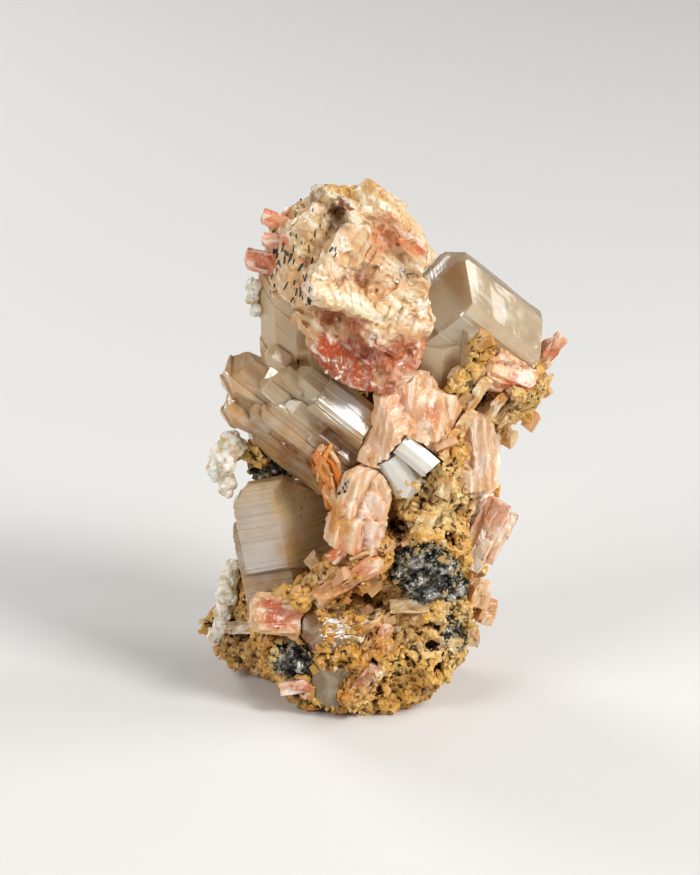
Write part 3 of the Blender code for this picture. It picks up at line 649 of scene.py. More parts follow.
def barite_material():
    """Cleaved barite: waxy to pearly, lit a little from inside, with pale and deep leaves, and rust-brown
    painted shade in its cracks and hollows.
    """
    material, add, place = new_material("cleaved_barite")
    painted = add("Attribute", {"attribute_name": "painted"})
    hollow = add("Attribute", {"attribute_name": "hollow"})
    leaf = add("Attribute", {"attribute_name": "leaf"})
    deep = add("Mix", {"blend_type": "MULTIPLY", 0: 0.7, 7: "#f2cca2"}, {6: painted})
    leaves = add("MapRange", {"From Min": 0.15, "From Max": 0.6}, {0: leaf.outputs["Fac"]})
    layered = add("Mix", {}, {0: leaves, 6: deep, 7: painted})
    edges = add("MapRange", {"From Min": 0.62, "From Max": 0.95, "To Max": 0.6}, {0: leaf.outputs["Fac"]})
    edged = add("Mix", {7: "#f8eadc"}, {0: edges, 6: layered})
    clouds = add("TexNoise", {"Scale": per(1.6), "Detail": 7, "Roughness": 0.7}, {0: place})
    pale = add("MapRange", {"From Min": 0.5, "From Max": 0.7, "To Max": 0.4}, {0: clouds})
    milky = add("Mix", {7: "#f4e8d4"}, {0: pale, 6: edged})
    blush = add("TexNoise", {"Scale": per(0.8), "Detail": 5, "Roughness": 0.7}, {0: place})
    rosy = add("MapRange", {"From Min": 0.52, "From Max": 0.68, "To Max": 0.35}, {0: blush})
    flushed = add("Mix", {7: "#deb285"}, {0: rosy, 6: milky})
    # Painted shade, rust brown: the deeper the crack or hollow, the more of it.
    crack_shade_amount = add("MapRange", {"From Min": 0.62, "From Max": 1, "To Max": 0.75}, {0: hollow.outputs["Fac"]})
    with_crack_shade = add("Mix", {7: "#a0622c"}, {0: crack_shade_amount, 6: flushed})
    grain = add("TexNoise", {"Scale": per(0.35), "Detail": 4}, {0: place})
    bump = add("Bump", {"Strength": 0.5, "Distance": 0.1 * MM}, {"Height": grain})
    surface = add(
        "BsdfPrincipled",
        {
            "Roughness": 0.32, "IOR": 1.64, "Subsurface Weight": 0.12, "Subsurface Scale": 0.5 * MM,
            "Subsurface Radius": (1, 0.75, 0.6),
        },
        {"Base Color": with_crack_shade, "Normal": bump},
    )
    add("OutputMaterial", links={"Surface": surface})
    return material


barite_finish = barite_material()


def barite_piece(piece, voxel, along, across, steps, ridge, base, patches, planes=(), shape=(), worn=0):
    """A plate or group of plates: shaped, broken into leaves, worn by some rounds of smoothing, coloured."""
    rough_skin(piece, voxel, [("CLOUDS", 2.4, 1.4 * voxel)])
    cleave_off(piece, planes)
    sculpt(piece, shape)
    for seed, (normal, step, cell, spread) in enumerate(steps):
        break_up(piece, normal, step, cell, spread, seed, unit(along))
    if worn:
        wear = piece.modifiers.new("Wear", "SMOOTH")
        wear.factor = 0.5
        wear.iterations = worn
        apply_modifiers(piece)
    cleave(piece, along, across, ridge[0], ridge[1], 3.7)
    mark_hollows(piece, [(3, 0.18), (12, 0.7)])
    keep_colours(piece, colours_at(points_of(piece), base, patches))
    piece.data.materials.append(barite_finish)
    return piece


HEAD_PLANES = [
    ((-11, 0, 71.2), (-0.6, -0.1, 0.8)),
    ((-14.2, -4, 66), (-0.93, -0.3, 0.2)),
    ((-10.4, -7.2, 67.5), (-0.62, -0.72, 0.3)),
    ((-2, -6, 69), (0.05, -0.9, 0.42)),
    ((3.6, -5.6, 67), (0.42, -0.86, 0.28)),
    ((6.6, 0, 66), (0.96, -0.1, 0.24)),
    ((3.6, -2, 70.6), (0.62, -0.25, 0.74)),
    ((-7.6, -8, 52), (-0.5, -0.85, -0.15)),
    ((0, -8.2, 52), (0.3, -0.95, 0.02)),
    ((5.6, -5, 54), (0.85, -0.5, -0.1)),
    ((-7, -8, 49.8), (-0.45, -0.35, -0.82)),
    ((4.3, -7.2, 50.8), (0.78, -0.25, -0.57)),
    ((-5.3, -8.8, 49.3), (-0.42, -0.2, -0.88)),
    ((-12, 6, 62), (-0.7, 0.7, 0.1)),
    ((0, 9, 66), (0.2, 0.9, 0.35)),
]
HEAD_SHAPE = [
    # the band from the top edge down to the left tip, and the crease beside it
    ([(-3.7, -5.1, 72.1), (-8.4, -8.6, 65.1), (-11.3, -10.1, 62.4)], 2.2, (-0.6, -1.2, 0.3)),
    ([(-2, -5.5, 70.5), (-5, -8.5, 66)], 1.4, (0.4, 1.1, 0)),
    ([(-6.5, -5.5, 71.5), (-10.2, -8.3, 66.4), (-12.6, -8.5, 63.4)], 1.9, (0.6, 2.2, 0)),
    # the overhanging tongue, with a crease above it and a recess below it
    ([(-11, -10.2, 61.8), (-6.5, -9.8, 61.6)], 2.2, (0, -1.3, -0.7)),
    ([(-4, -9.6, 60), (1.5, -9.8, 58), (3.6, -8.6, 55.6)], 1.9, (0.2, -0.9, -0.2)),
    ([(-5.8, -9, 65), (-3.6, -8, 63.9), (-1.2, -6.5, 64)], 1.1, (0.1, 1.1, 0.3)),
    ([(-9.4, -8.8, 58.4), (-6, -8.4, 57.4)], 2.2, (0.2, 1.5, 0.3)),
    ([(-9, -8, 56.5), (-2.5, -8, 50)], 1.2, (0.3, 0.8, 0.3)),
    ([(-4.5, -8, 57), (1, -8.2, 50.5)], 1.3, (-0.2, -0.8, 0)),
    # the hollow under the crest and the red hollow on the right
    ([(-8, -3.5, 71.8), (-4, -4.6, 70.8)], 1.7, (0.1, 1.5, -0.6)),
    ([(0, -4.6, 69.5), (3.5, -5.5, 66.5)], 2.4, (0, 0.8, 0)),
    ([(0.4, -9.7, 54.4), (1.2, -9.7, 52.6)], 1.1, (0, 1.3, 0)),
    # the leading edge of the lower part
    ([(-9, -8, 53.5), (-4, -8, 47.5)], 1.8, (-0.5, -0.6, -0.3)),
    ([(-4, -7.6, 47.5), (4.5, -7, 51)], 1.8, (0.3, -0.6, -0.3)),
    # the jagged right rim
    ([(7, -3.5, 64.6)], 2, (1, -0.6, 0.4)),
    ([(5.5, -3.5, 71)], 2, (0.9, 0, 0.7)),
    ([(6.6, -3, 62.2)], 1.6, (-1.3, 0, 0)),
    ([(6.5, -5.2, 56.3)], 1.5, (0.9, -0.3, 0)),
    ([(6, -5, 53.6)], 1.3, (-0.9, 0, 0)),
    # the peaks and notches of the crest
    ([(-1.6, 0, 74)], 2.2, (0.2, 0, 1)),
    ([(-4.6, -1, 73.9)], 1.2, (0, 0, -1.1)),
    ([(-7.4, 0, 73.4)], 1.6, (-0.2, 0, 0.9)),
    ([(-10.6, 0, 72.2)], 1.3, (0.3, 0, -1.2)),
    ([(-12.6, 0, 70.8)], 1.3, (-0.5, 0, 0.7)),
    ([(-14.4, -1, 66.4)], 1.2, (1.1, 0, 0)),
]
HEAD_PATCHES = [
    # the yellow, speckled side and the crest
    ((-11.4, -5.5, 69.7), 4.5, "#d8c092"),
    ((-10, -8.3, 66.4), 3.2, "#d8be88"),
    ((-14, 0, 66), 5, "#cdb486"),
    ((-5, 3, 71), 7, "#ccb074"),
    ((-7.1, 0.6, 73.6), 3, "#cdb06c"),
    ((-1, -1, 74), 3.5, "#d2b478"),
    ((1.5, -4, 72.3), 2.4, "#e6cc9c"),
    # painted shade in the hollow under the crest
    ((-6, -4.6, 71.5), 2.8, "#7a5630"),
    ((-14.2, 0.5, 69), 1.9, "#d98663"),
    ((-13.8, -4.2, 68.1), 1.3, "#dc8c68"),
    ((-16, -3.9, 64), 2.2, "#d57c58"),
    ((-9.2, -0.4, 73.1), 1.4, "#8b8272"),
    ((-8.9, -2.4, 72.9), 0.9, "#d87a2c"),
    # the band and the tongue
    ((-3.7, -5.1, 72.1), 2.2, "#ecd8b8"),
    ((-5.9, -9, 69.5), 2.4, "#f2e0c8"),
    ((-8.4, -8.6, 65.1), 2.4, "#efdcc0"),
    ((-11.3, -10.1, 62.4), 2.4, "#f2e2cc"),
    ((-7.3, -9.6, 62.6), 2.6, "#ead2a8"),
    ((-1.9, -9.8, 60), 3.2, "#dfc898"),
    ((1.8, -10.2, 59.6), 3.4, "#e6d2a6"),
    ((5, -8, 58), 2.6, "#e6caa4"),
    # the middle
    ((0.8, -4.4, 68.5), 3, "#dea076"),
    ((3.9, -6.5, 66.9), 2.3, "#d67a48"),
    ((5, -5, 70), 2.2, "#ecccac"),
    ((-2.6, -8.3, 67.1), 1.9, "#ecd8b8"),
    # painted shade in the crease above the tongue, here and at its left end two rows down
    ((-2.6, -6.8, 63.9), 1.5, "#94602f"),
    ((2.4, -5, 63.6), 2.4, "#ecd8b4"),
    ((-4.9, -9.3, 64.2), 1.4, "#9c6636"),
    ((3.8, -10, 59.5), 1, "#bc4620"),
    ((-7.3, -8.3, 58.5), 2.6, "#a4602e"),
    ((-4, -8.4, 57), 2.2, "#bc7044"),
    ((-1, -8.6, 58.6), 1.8, "#ecd8bc"),
    # the smooth red lower part
    ((-7.1, -8.5, 52.5), 3.8, "#a44c1a"),
    ((-2.6, -7.1, 52.9), 3.6, "#a44e22"),
    ((2.2, -7.8, 52), 3.8, "#b4663c"),
    ((-4, -8, 48.5), 3.8, "#a85428"),
    # a painted highlight where the head glints
    ((-0.8, -10.1, 55.5), 1.3, "#f0dccb"),
    # the red of the lower part, deepened by painted shade in the small hollow
    ((0.7, -9.7, 53.5), 1.2, "#7c2e14"),
    ((-7.3, -8.6, 54), 1.8, "#b8501e"),
    ((6.5, -5.2, 56.3), 1.9, "#eed4b0"),
    ((5.6, -5.2, 52.5), 2, "#cc8a64"),
    ((0.6, -8.9, 47.1), 2.4, "#b0582c"),
    ((3.4, -8, 49.6), 1.6, "#dca686"),
]
DOWN_RIGHT = (0.75, -0.1, -0.65)
head = barite_piece(
    grown_from("barite_head", "barite_head_block"), 0.2, DOWN_RIGHT, (0.6, -0.2, 0.75),
    [((-0.45, -0.75, 0.48), 1.1, 7, 0.3), ((0.45, -0.8, 0.35), 0.45, 3.6, 0.25)], (0.9, 0.12), "#dcbe92",
    HEAD_PATCHES, HEAD_PLANES, HEAD_SHAPE, 2,
)


def on_dark_side(x, y, z, normal):
    return x < -6.5 and 60 < z < 72 and y < 4 and (x < -9.5 or z > 67) and normal[2] < 0.55


# Places where the head glitters. The near-white flakes put there are painted highlights.
GLINTS = ((2.1, -4.5, 63.4), (-1, -10, 55.4), (3, -9, 52), (-5, -9, 69), (-6.5, -9, 51))

# Black iron and manganese oxide in short dashes, all in one direction along the barite's leaves.
speck_draw = np.random.default_rng(31)
OXIDE_TONES = ["#1f1814", "#2c221b", "#3a2c20"]
black_oxide = crumb_material("black_oxide", "#5a4026", 0.2, 0.5)
dashes = (head, 260, on_dark_side, speck_draw, [NEEDLE], (0.4, 1.5), 0.8, -0.05, OXIDE_TONES, 1)
scatter("oxide_dashes", "matrix", black_oxide, *dashes, along=(0.15, 0.1, 1))
glint_flakes = crumb_material("clean_barite_chips", "#ecd0b0", 0.3, 0.12, 0.3)
GLINT_TONES = ["#f4e8dc", "#f0dccb", "#f8f2ea"]
flashes = (head, 110, near(1.6, *GLINTS), speck_draw, [FLAKE], (0.3, 1), 0.5, 0, GLINT_TONES, 1)
scatter("barite_glints", "barite", glint_flakes, *flashes)

# Each group of plates: node, grain direction, direction across the leaves, base colour and patches.
PLATES = [
    (
        "barite_blade_front", (0.24, 0.1, 0.96), (0.75, -0.62, -0.1), "#e8c8a2",
        [
            ((-5.6, -9.2, 33.8), 1.4, "#c9c2b0"),
            ((-6, -10, 29), 2.6, "#d59c50"),
            ((-4.4, -10, 25), 2.6, "#cb7436"),
            ((-1.5, -10, 31), 2.6, "#f0dac8"),
            ((-2.4, -10, 27), 2.4, "#e6b9a0"),
        ],
    ),
    (
        "barite_blades_middle", (0.1, 0.2, 0.97), (0.85, -0.5, -0.1), "#e8c49c",
        [
            ((1.6, -7.8, 44.4), 2.4, "#e8bfa4"),
            ((-0.5, -8, 40.1), 2.6, "#e9c3a0"),
            ((6.5, -6, 43), 2.6, "#d48c60"),
            ((3, -8, 47), 2.2, "#e2a882"),
        ],
    ),
    (
        "barite_blades_right", (0, 0.1, 0.99), (0.85, -0.5, 0), "#e8c8a4",
        [
            ((8.9, -5, 39.5), 2.2, "#d07444"),
            ((11.7, -4.9, 37.4), 1, "#b8452a"),
            ((13, -4, 35), 3, "#e9cdb4"),
        ],
    ),
    (
        "barite_patch_right", (0.8, 0.1, -0.58), (0.3, -0.7, 0.6), "#deae80",
        [((18.5, -3, 46.5), 2, "#c46a40"), ((14.5, -3, 48), 2.2, "#ecc8a4")],
    ),
    ("barite_tip", (0.66, 0, 0.75), (0.5, -0.8, -0.3), "#dc9468", []),
    (
        "barite_blade_low", (-0.95, -0.1, 0.16), (0.1, -0.8, 0.5), "#d8ae80",
        [
            ((-14.6, -10.6, 14.9), 2.8, "#bc6840"),
            ((-11.5, -11, 14.5), 2.4, "#d08a64"),
            ((-16.8, -11.1, 12.6), 1.8, "#e4c48c"),
        ],
    ),
    (
        "barite_ledge_blade", (0.82, -0.05, 0.54), (-0.4, -0.7, 0.6), "#d8a060",
        [((-2.3, -11.8, 21.5), 2.4, "#dd9a70")],
    ),
    ("barite_splinters", (-0.2, -0.05, 0.97), (0.75, -0.65, 0.2), "#d88234", []),
    ("barite_plates_side", (0.38, 0.1, 0.91), (0.8, -0.5, -0.4), "#f0e6d4", [((16, 1, 24), 2, "#d89878")]),
    ("barite_knobs_side", (0.1, 0.1, 0.95), (0.8, -0.5, -0.1), "#eccfa4", []),
    ("barite_back_top", (0.2, 0.2, 0.92), (0.85, 0.5, -0.2), "#e2ba98", [((-4, 12, 56), 5, "#cb7852")]),
    ("barite_back_middle", (0.1, 0.3, 0.9), (0.85, 0.5, -0.1), "#e4c0a0", [((2, 15, 31), 4, "#c66e48")]),
    ("barite_back_low", (0.3, 0.25, 0.8), (0.8, 0.5, -0.4), "#e2c09a", []),
    ("barite_back_side", (0, 0.25, 0.95), (0.6, -0.7, 0), "#e6c4a8", []),
]
# Folds and creases of the plates in front, as the head has.
PLATE_SHAPES = {
    "barite_blades_middle": [
        ([(-0.5, -8, 46), (1.5, -8, 41), (1, -8, 37)], 1.6, (-0.3, -1, 0)),
        ([(2.2, -7.8, 47), (3.4, -7.8, 42)], 1.2, (0, 1.1, 0)),
        ([(5, -7, 46), (6, -6.5, 42)], 1.6, (0.3, -0.8, 0)),
        ([(-1.6, -8, 39)], 1.3, (0.8, 0, 0)),
    ],
    "barite_blade_front": [
        ([(-6.2, -10, 33), (-6.2, -10, 26)], 1.4, (-0.3, -0.6, 0)),
        ([(-4.2, -10.4, 32), (-3.6, -10.4, 26)], 1, (0, 0.9, 0)),
        ([(-4.5, -10.4, 24.8)], 1.6, (0, -0.8, -0.2)),
        ([(-0.6, -10, 34.2)], 1.8, (-1, 0, -1)),
    ],
    "barite_blades_right": [
        ([(11, -5, 41), (11.6, -5, 35)], 1.1, (0, 1.1, 0)),
        ([(9, -5.4, 40), (9.4, -5.4, 36)], 1.3, (-0.2, -0.7, 0)),
    ],
}
for node, along, across, base, patches in PLATES:
    small = 0.45 if node in ("barite_tip", "barite_splinters") else 1
    barite_piece(
        grown_from(node, node + "_cleaved"), 0.16 * small, along, across,
        [(across, 1.1 * small, 4.2, 0.2), (across, 0.3 * small, 2.2, 0.2)], (0.6, 0.06), base, patches, (),
        PLATE_SHAPES.get(node, ()), 2,
    )

# Smaller plates half sunk in the crust: place, direction, the way it faces, length, width and thickness in
# mm, and colours at its foot and its end.
LOOSE_PLATES = [
    ((23.4, 5, 48.4), (0.66, 0, 0.75), (0.3, -0.9, 0), (5, 1.7, 1), "#d98a5c", "#e8b894"),
    ((-14.9, 0.4, 69), (-0.9, 0, 0.35), (0, -1, 0.3), (3.6, 2.2, 2), "#dca07e", "#d98a6a"),
    ((-15, -1.8, 66.9), (-0.95, 0, 0.1), (0, -1, 0.3), (3.2, 2, 1.8), "#d99676", "#e2a88c"),
    ((-16.8, -0.6, 63.4), (-0.9, 0, 0.2), (0, -1, 0.3), (4.2, 2.9, 2.4), "#d98c6c", "#e0a284"),
    ((-9, -0.8, 73), (0.1, 0, 0.99), (0, -1, 0.2), (2.6, 2, 1.6), "#a89a84", "#e0d6c0"),
    ((14, -1.8, 23.5), (0.42, 0.1, 0.9), (-0.3, -0.95, 0.1), (10.5, 3.8, 1.5), "#ecd8c0", "#e2b296"),
    ((15.9, -0.4, 22.5), (0.46, 0.1, 0.88), (0.2, -0.95, 0), (8, 2.8, 1.2), "#e6c0a0", "#f0dcc8"),
    ((-0.2, -12, 12.4), (0.55, -0.1, 0.8), (0, -1, 0.2), (4.2, 1.6, 0.9), "#d88c50", "#e2a878"),
    ((-2.5, -12.8, 6.2), (0.5, -0.1, 0.85), (0, -1, 0.2), (5.2, 1.7, 1), "#b98058", "#d6a888"),
    ((3.7, -9.4, 15.8), (0.95, -0.1, 0.1), (0.1, -0.9, 0.4), (5.4, 2, 1.6), "#d2bc88", "#e2d2a6"),
    ((-12.3, -11.6, 4.4), (0.9, -0.1, 0.2), (-0.3, -0.9, 0.2), (4.2, 1.8, 1), "#ecd4c6", "#cf8060"),
    ((13.5, -1.4, 14.2), (0.3, 0, 0.9), (0.3, -0.9, 0), (3.8, 2.8, 2), "#e6c090", "#ecd2a8"),
    ((14.6, -0.4, 11), (0.4, 0, 0.85), (0.4, -0.9, 0), (3.4, 2.8, 2), "#e2b888", "#d89a60"),
    ((12.4, -2.4, 8), (0.2, 0, 0.95), (0.3, -0.9, 0), (2.8, 2.4, 1.8), "#dcc08e", "#e8d4ac"),
    ((-6.3, -10.4, 24.2), (0.7, 0, 0.7), (0, -1, 0.1), (2.8, 1.9, 1.2), "#cf7232", "#dc9050"),
    ((13, -3.8, 45.2), (0.5, -0.1, 0.85), (-0.2, -0.9, 0.3), (5.4, 1.5, 0.9), "#dcb470", "#ead2a0"),
    ((15.4, -3.4, 43), (0.55, -0.1, 0.8), (-0.2, -0.9, 0.3), (4.6, 1.3, 0.8), "#e2c890", "#c98c44"),
    ((11.2, -5, 41.2), (0.45, -0.1, 0.88), (-0.2, -0.9, 0.3), (4.6, 1.5, 0.9), "#d6a658", "#e6c68c"),
    ((9.6, -7.6, 9), (0.6, 0, 0.7), (0.3, -0.9, 0.2), (3.2, 2.2, 1.6), "#dcc894", "#ccb078"),
    ((-19.5, -3, 9.6), (0.9, -0.2, 0.1), (0, -0.9, 0.4), (4.6, 1.8, 1.2), "#bfa888", "#d8ccb8"),
    ((5.6, -8.2, 27.5), (0.4, -0.1, 0.9), (-0.2, -0.9, 0.3), (3.6, 2.2, 1.6), "#e8d29a", "#d8b060"),
    ((8.6, -7.2, 33), (0.2, -0.1, 0.95), (-0.2, -0.9, 0.3), (3.4, 2, 1.4), "#ecdaa8", "#d2a04c"),
]
for number, (place, along, facing, size, foot_colour, end_colour) in enumerate(LOOSE_PLATES):
    along = unit(along)
    facing = Vector(facing)
    facing = (facing - along * facing.dot(along)).normalized()
    turn = Matrix((along, facing.cross(along), facing)).transposed()
    corners, faces = chip(0.44, size[2] / size[0], size[1] / size[0])
    mesh = bpy.data.meshes.new(f"barite_small_plate_{number}")
    mesh.from_pydata(
        [at(*place) + turn @ Vector(corner) * size[0] * MM for corner in corners], [], faces.tolist()
    )
    end = tuple(Vector(place) + along * size[0] * 0.4)
    barite_piece(
        new_piece(mesh.name, mesh), 0.13, along, facing,
        [(facing, 0.9, 2.6, 0.2), (facing, 0.25, 1.4, 0.2)], (0.5, 0.06), foot_colour,
        [(end, size[0] * 0.4, end_colour)], worn=2,
    )


def on_splinters(x, y, z, normal):
    return z < 37.5


speckled_end = near(1.5, (-5.5, -9.3, 33.6))
front_blade = bpy.data.objects["barite_blade_front_cleaved"]
end_specks = (front_blade, 26, speckled_end, speck_draw, [GRAIN], (0.2, 0.7), 0.8, 0, OXIDE_TONES[:2], 1)
scatter("oxide_specks", "matrix", black_oxide, *end_specks)
SPLINTER_TONES = ["#e09048", "#f0b070", "#d07430", "#f8cc98"]
splinters = bpy.data.objects["barite_splinters_cleaved"]
sheaf = (splinters, 44, on_splinters, speck_draw, [NEEDLE, SPLINTER], (1.8, 5.2), 0.1, 0, SPLINTER_TONES, 1)
scatter("barite_splinter_sheaf", "barite", stained_crumbs, *sheaf, along=(-0.22, -0.05, 0.97))

# Calcite beads
# Small white globes, each a ball of fine needles, that grew last on the outer edges.

calcite_white, add, calcite_place = new_material("white_calcite_globes")
calcite_spots = add("TexNoise", {"Scale": per(1.2), "Detail": 4}, {0: calcite_place})
calcite_colour = add(
    "ValToRGB", {"stops": [(0.38, "#cdb688"), (0.48, "#e6dccb"), (0.62, "#f4ede2")]}, {0: calcite_spots}
)
calcite_surface = add(
    "BsdfPrincipled", {"Roughness": 0.45, "Subsurface Weight": 0.3, "Subsurface Scale": 0.6 * MM},
    {"Base Color": calcite_colour},
)
add("OutputMaterial", links={"Surface": calcite_surface})
round_bead = bmesh.new()
bmesh.ops.create_icosphere(round_bead, subdivisions=2, radius=0.5)
BEAD = (
    np.array([vertex.co[:] for vertex in round_bead.verts]),
    np.array([[vertex.index for vertex in face.verts] for face in round_bead.faces]),
)
round_bead.free()
bead_draw = np.random.default_rng(17)
for node in ("calcite_left", "calcite_top", "calcite_low"):
    globes = grown_from(node, node + "_globes")
    rough_skin(globes, 0.13, [("VORONOI", 1.1, -0.5), ("CLOUDS", 0.4, 0.12)])
    globes.data.materials.append(calcite_white)
    balls = (globes, 70, anywhere, bead_draw, [BEAD], (0.4, 1.7), 0.3, 0.3, ["#f4f1ea"])
    beads = scatter(node + "_beads", "calcite", calcite_white, *balls)
    for polygon in beads.data.polygons:
        polygon.use_smooth = True

# Cerussite
# Lead carbonate in stout prisms and sixling-like twins: clear to milky, champagne brown, with the strongest
# glitter of any clear mineral. Growth lines cross its faces and veils of tiny bubbles cloud it inside.


def cerussite_material(name, absorb, density, transmission, roughness, stripes_along, stripe):
    """Cerussite: high refraction, brown by absorption, cloudy in veils, with growth lines on its faces."""
    material, add, place = new_material(name)
    turn = Vector(stripes_along).to_track_quat("Z", "Y").inverted().to_euler()
    turned = add("Mapping", {"Rotation": tuple(turn), "vector_type": "POINT"}, {"Vector": place})
    squeezed = add("Mapping", {"Scale": (0.08, 0.08, 1)}, {"Vector": turned})
    lines = add("TexNoise", {"Scale": per(stripe), "Detail": 5, "Roughness": 0.6}, {0: squeezed})
    painted = add("Attribute", {"attribute_name": "painted"})
    veils = add("TexNoise", {"Scale": per(3), "Detail": 7, "Roughness": 0.65}, {0: place})
    cloud = add("MapRange", {"From Min": 0.45, "From Max": 0.7, "To Max": 0.7}, {0: veils})
    tone = add("Mix", {7: "#f8ead2"}, {0: cloud, 6: painted})
    worn = add(
        "MapRange", {"From Min": 0.35, "From Max": 0.7, "To Min": roughness[0], "To Max": roughness[1]},
        {0: veils},
    )
    bump = add("Bump", {"Strength": 0.8, "Distance": 0.1 * MM}, {"Height": lines})
    surface = add(
        "BsdfPrincipled",
        {
            "IOR": 1.85, "Transmission Weight": transmission, "Subsurface Weight": 0.5,
            "Subsurface Scale": 1.2 * MM, "Subsurface Radius": (1, 0.75, 0.5),
        },
        {"Base Color": tone, "Roughness": worn, "Normal": bump},
    )
    inside = add("VolumeAbsorption", {"Color": absorb, "Density": density})
    add("OutputMaterial", links={"Surface": surface, "Volume": inside})
    return material


def growth_steps(crystal, across, gaps, height, seed):
    """Cuts the faces into bands square to a direction, each grown a little further out than its neighbour.

    The bands are between two widths in mm, and their steps up to the height in mm. A coarse net of cuts the
    other two ways lets the faces carry colour and swell a little.
    """
    draw = np.random.default_rng(seed)
    across = unit(across)
    ramp = 0.05
    reaches = points_of(crystal) @ np.array(across) / MM
    borders = [reaches.min()]
    while borders[-1] < reaches.max():
        borders.append(borders[-1] + gaps[0] + (gaps[1] - gaps[0]) * draw.random() ** 1.5)
    lifts = draw.uniform(-1, 1, len(borders)) * height
    cuts = [(across, border + side * ramp / 2) for border in borders[1:-1] for side in (-1, 1)]
    sideways = across.orthogonal().normalized()
    for direction in (sideways, across.cross(sideways)):
        net = points_of(crystal) @ np.array(direction) / MM
        cuts += [(direction, reach) for reach in np.arange(net.min() + 0.7, net.max(), 1.1)]
    solid = bmesh.new()
    solid.from_mesh(crystal.data)
    bmesh.ops.dissolve_limit(
        solid, angle_limit=math.radians(0.6), verts=solid.verts[:], edges=solid.edges[:]
    )
    for direction, reach in cuts:
        bmesh.ops.bisect_plane(
            solid, geom=solid.verts[:] + solid.edges[:] + solid.faces[:], dist=1e-7,
            plane_co=direction * reach * MM, plane_no=direction,
        )
    bmesh.ops.triangulate(solid, faces=solid.faces[:])
    solid.to_mesh(crystal.data)
    solid.free()
    points = points_of(crystal)
    band = np.searchsorted(borders, points @ np.array(across) / MM) - 1
    swell = np.array([noise.noise(Vector(p) / (4.0 * MM)) for p in points]) * 0.12
    lift = (lifts[np.clip(band, 0, len(lifts) - 1)] + swell).reshape(-1, 1)
    put_points(crystal, points + normals_of(crystal) * lift * MM)


def crystal_faces(crystal, finish, across, gaps, height, seed, base, patches):
    """Gives a crystal its worn edges, growth bands, colours and finish."""
    edge = crystal.modifiers.new("Edge", "BEVEL")
    edge.width = 0.1 * MM
    edge.segments = 2
    edge.limit_method = "ANGLE"
    edge.angle_limit = math.radians(14)
    apply_modifiers(crystal)
    growth_steps(crystal, across, gaps, height, seed)
    keep_colours(crystal, colours_at(points_of(crystal), base, patches))
    crystal.data.materials.append(finish)


LEFT_AXIS = (-0.19, 0.16, 0.97)
TWIN_AXIS = (0.78, -0.1, -0.62)
ACROSS_TWIN = (0.62, -0.1, 0.78)
ACROSS_RIGHT = (0.66, 0, 0.75)
left_finish = cerussite_material("striped_cerussite", "#cc8a40", 80, 0.45, (0.06, 0.28), LEFT_AXIS, 0.25)
twin_finish = cerussite_material("champagne_cerussite", "#cc8838", 100, 0.45, (0.04, 0.22), ACROSS_TWIN, 0.3)
right_finish = cerussite_material("pale_cerussite", "#e6c496", 26, 0.6, (0.03, 0.14), ACROSS_RIGHT, 0.4)
small_finish = cerussite_material("white_cerussite", "#f0e0c4", 20, 0.3, (0.02, 0.1), ACROSS_TWIN, 0.4)
LEFT_PATCHES = [
    # The front face is painted pale for its sheen, a painted reflection, in this row and the next.
    ((-17.4, -5.5, 26), 4.6, "#ead8c4"),
    ((-17.1, -6.1, 21), 3.6, "#f2e8dc"),
    # The side face is painted lighter for the light that comes through it there, a painted light, in this
    # row and the next.
    ((-12, -3.2, 27.6), 3.6, "#ffe2ac"),
    ((-10, -3, 22), 4.2, "#ffd898"),
    ((-16.9, -5.5, 16.5), 3, "#d9b484"),
]
CLUSTER_PATCHES = [
    ((-16, -3, 45), 5, "#f0cc9a"),
    ((-9, -4, 44.5), 5, "#f2d8b0"),
    # a painted highlight on the face that catches the light
    ((-4.3, -5.7, 44.3), 3.5, "#f8f2e8"),
    ((-13.5, -2.4, 55.5), 6, "#f4d6a8"),
    ((-16.2, -3.4, 39.5), 4, "#dcb484"),
    ((-11.5, -3.6, 35.3), 4.5, "#bc7c38"),
    ((-6, -5, 35), 4.5, "#b07430"),
    ((-7.6, -4.6, 39.7), 3.4, "#b88044"),
]

# Each crystal: node, finish, the direction across its growth bands, their widths, step height and colours.
CRYSTALS = [
    ("cerussite_left", left_finish, LEFT_AXIS, (0.12, 0.7), 0.09, "#e4bc82", LEFT_PATCHES),
    ("cerussite_cluster", twin_finish, ACROSS_TWIN, (0.35, 1.8), 0.2, "#eec084", CLUSTER_PATCHES),
    (
        "cerussite_right", right_finish, ACROSS_RIGHT, (0.8, 3.6), 0.1, "#f0d8b0",
        [((8, -2, 54), 6, "#fcecd0")],
    ),
    # the small crystal is painted near white: partly its own milky white, partly a painted highlight for its
    # bright faces
    ("cerussite_small", small_finish, ACROSS_TWIN, (0.5, 1.6), 0.05, "#fbf4ea", []),
    (
        "cerussite_foot", left_finish, (0.2, 0, 1), (0.5, 1.6), 0.05, "#a87440",
        # a painted highlight on the facet that faces the light
        [((-10.7, -10.8, 13.5), 1.6, "#f0e2d0")],
    ),
    ("cerussite_base", left_finish, (1, 0, 0.1), (0.5, 1.6), 0.12, "#a88c5c", []),
    ("cerussite_back_high", twin_finish, ACROSS_TWIN, (0.5, 1.8), 0.08, "#e2bc88", []),
    ("cerussite_back_low", left_finish, LEFT_AXIS, (0.3, 1.2), 0.07, "#dab480", []),
]
for seed, (node, finish, across, gaps, height, base, patches) in enumerate(CRYSTALS):
    crystal = grown_from(node, node + "_crystal")
    crystal_faces(crystal, finish, across, gaps, height, seed + 40, base, patches)

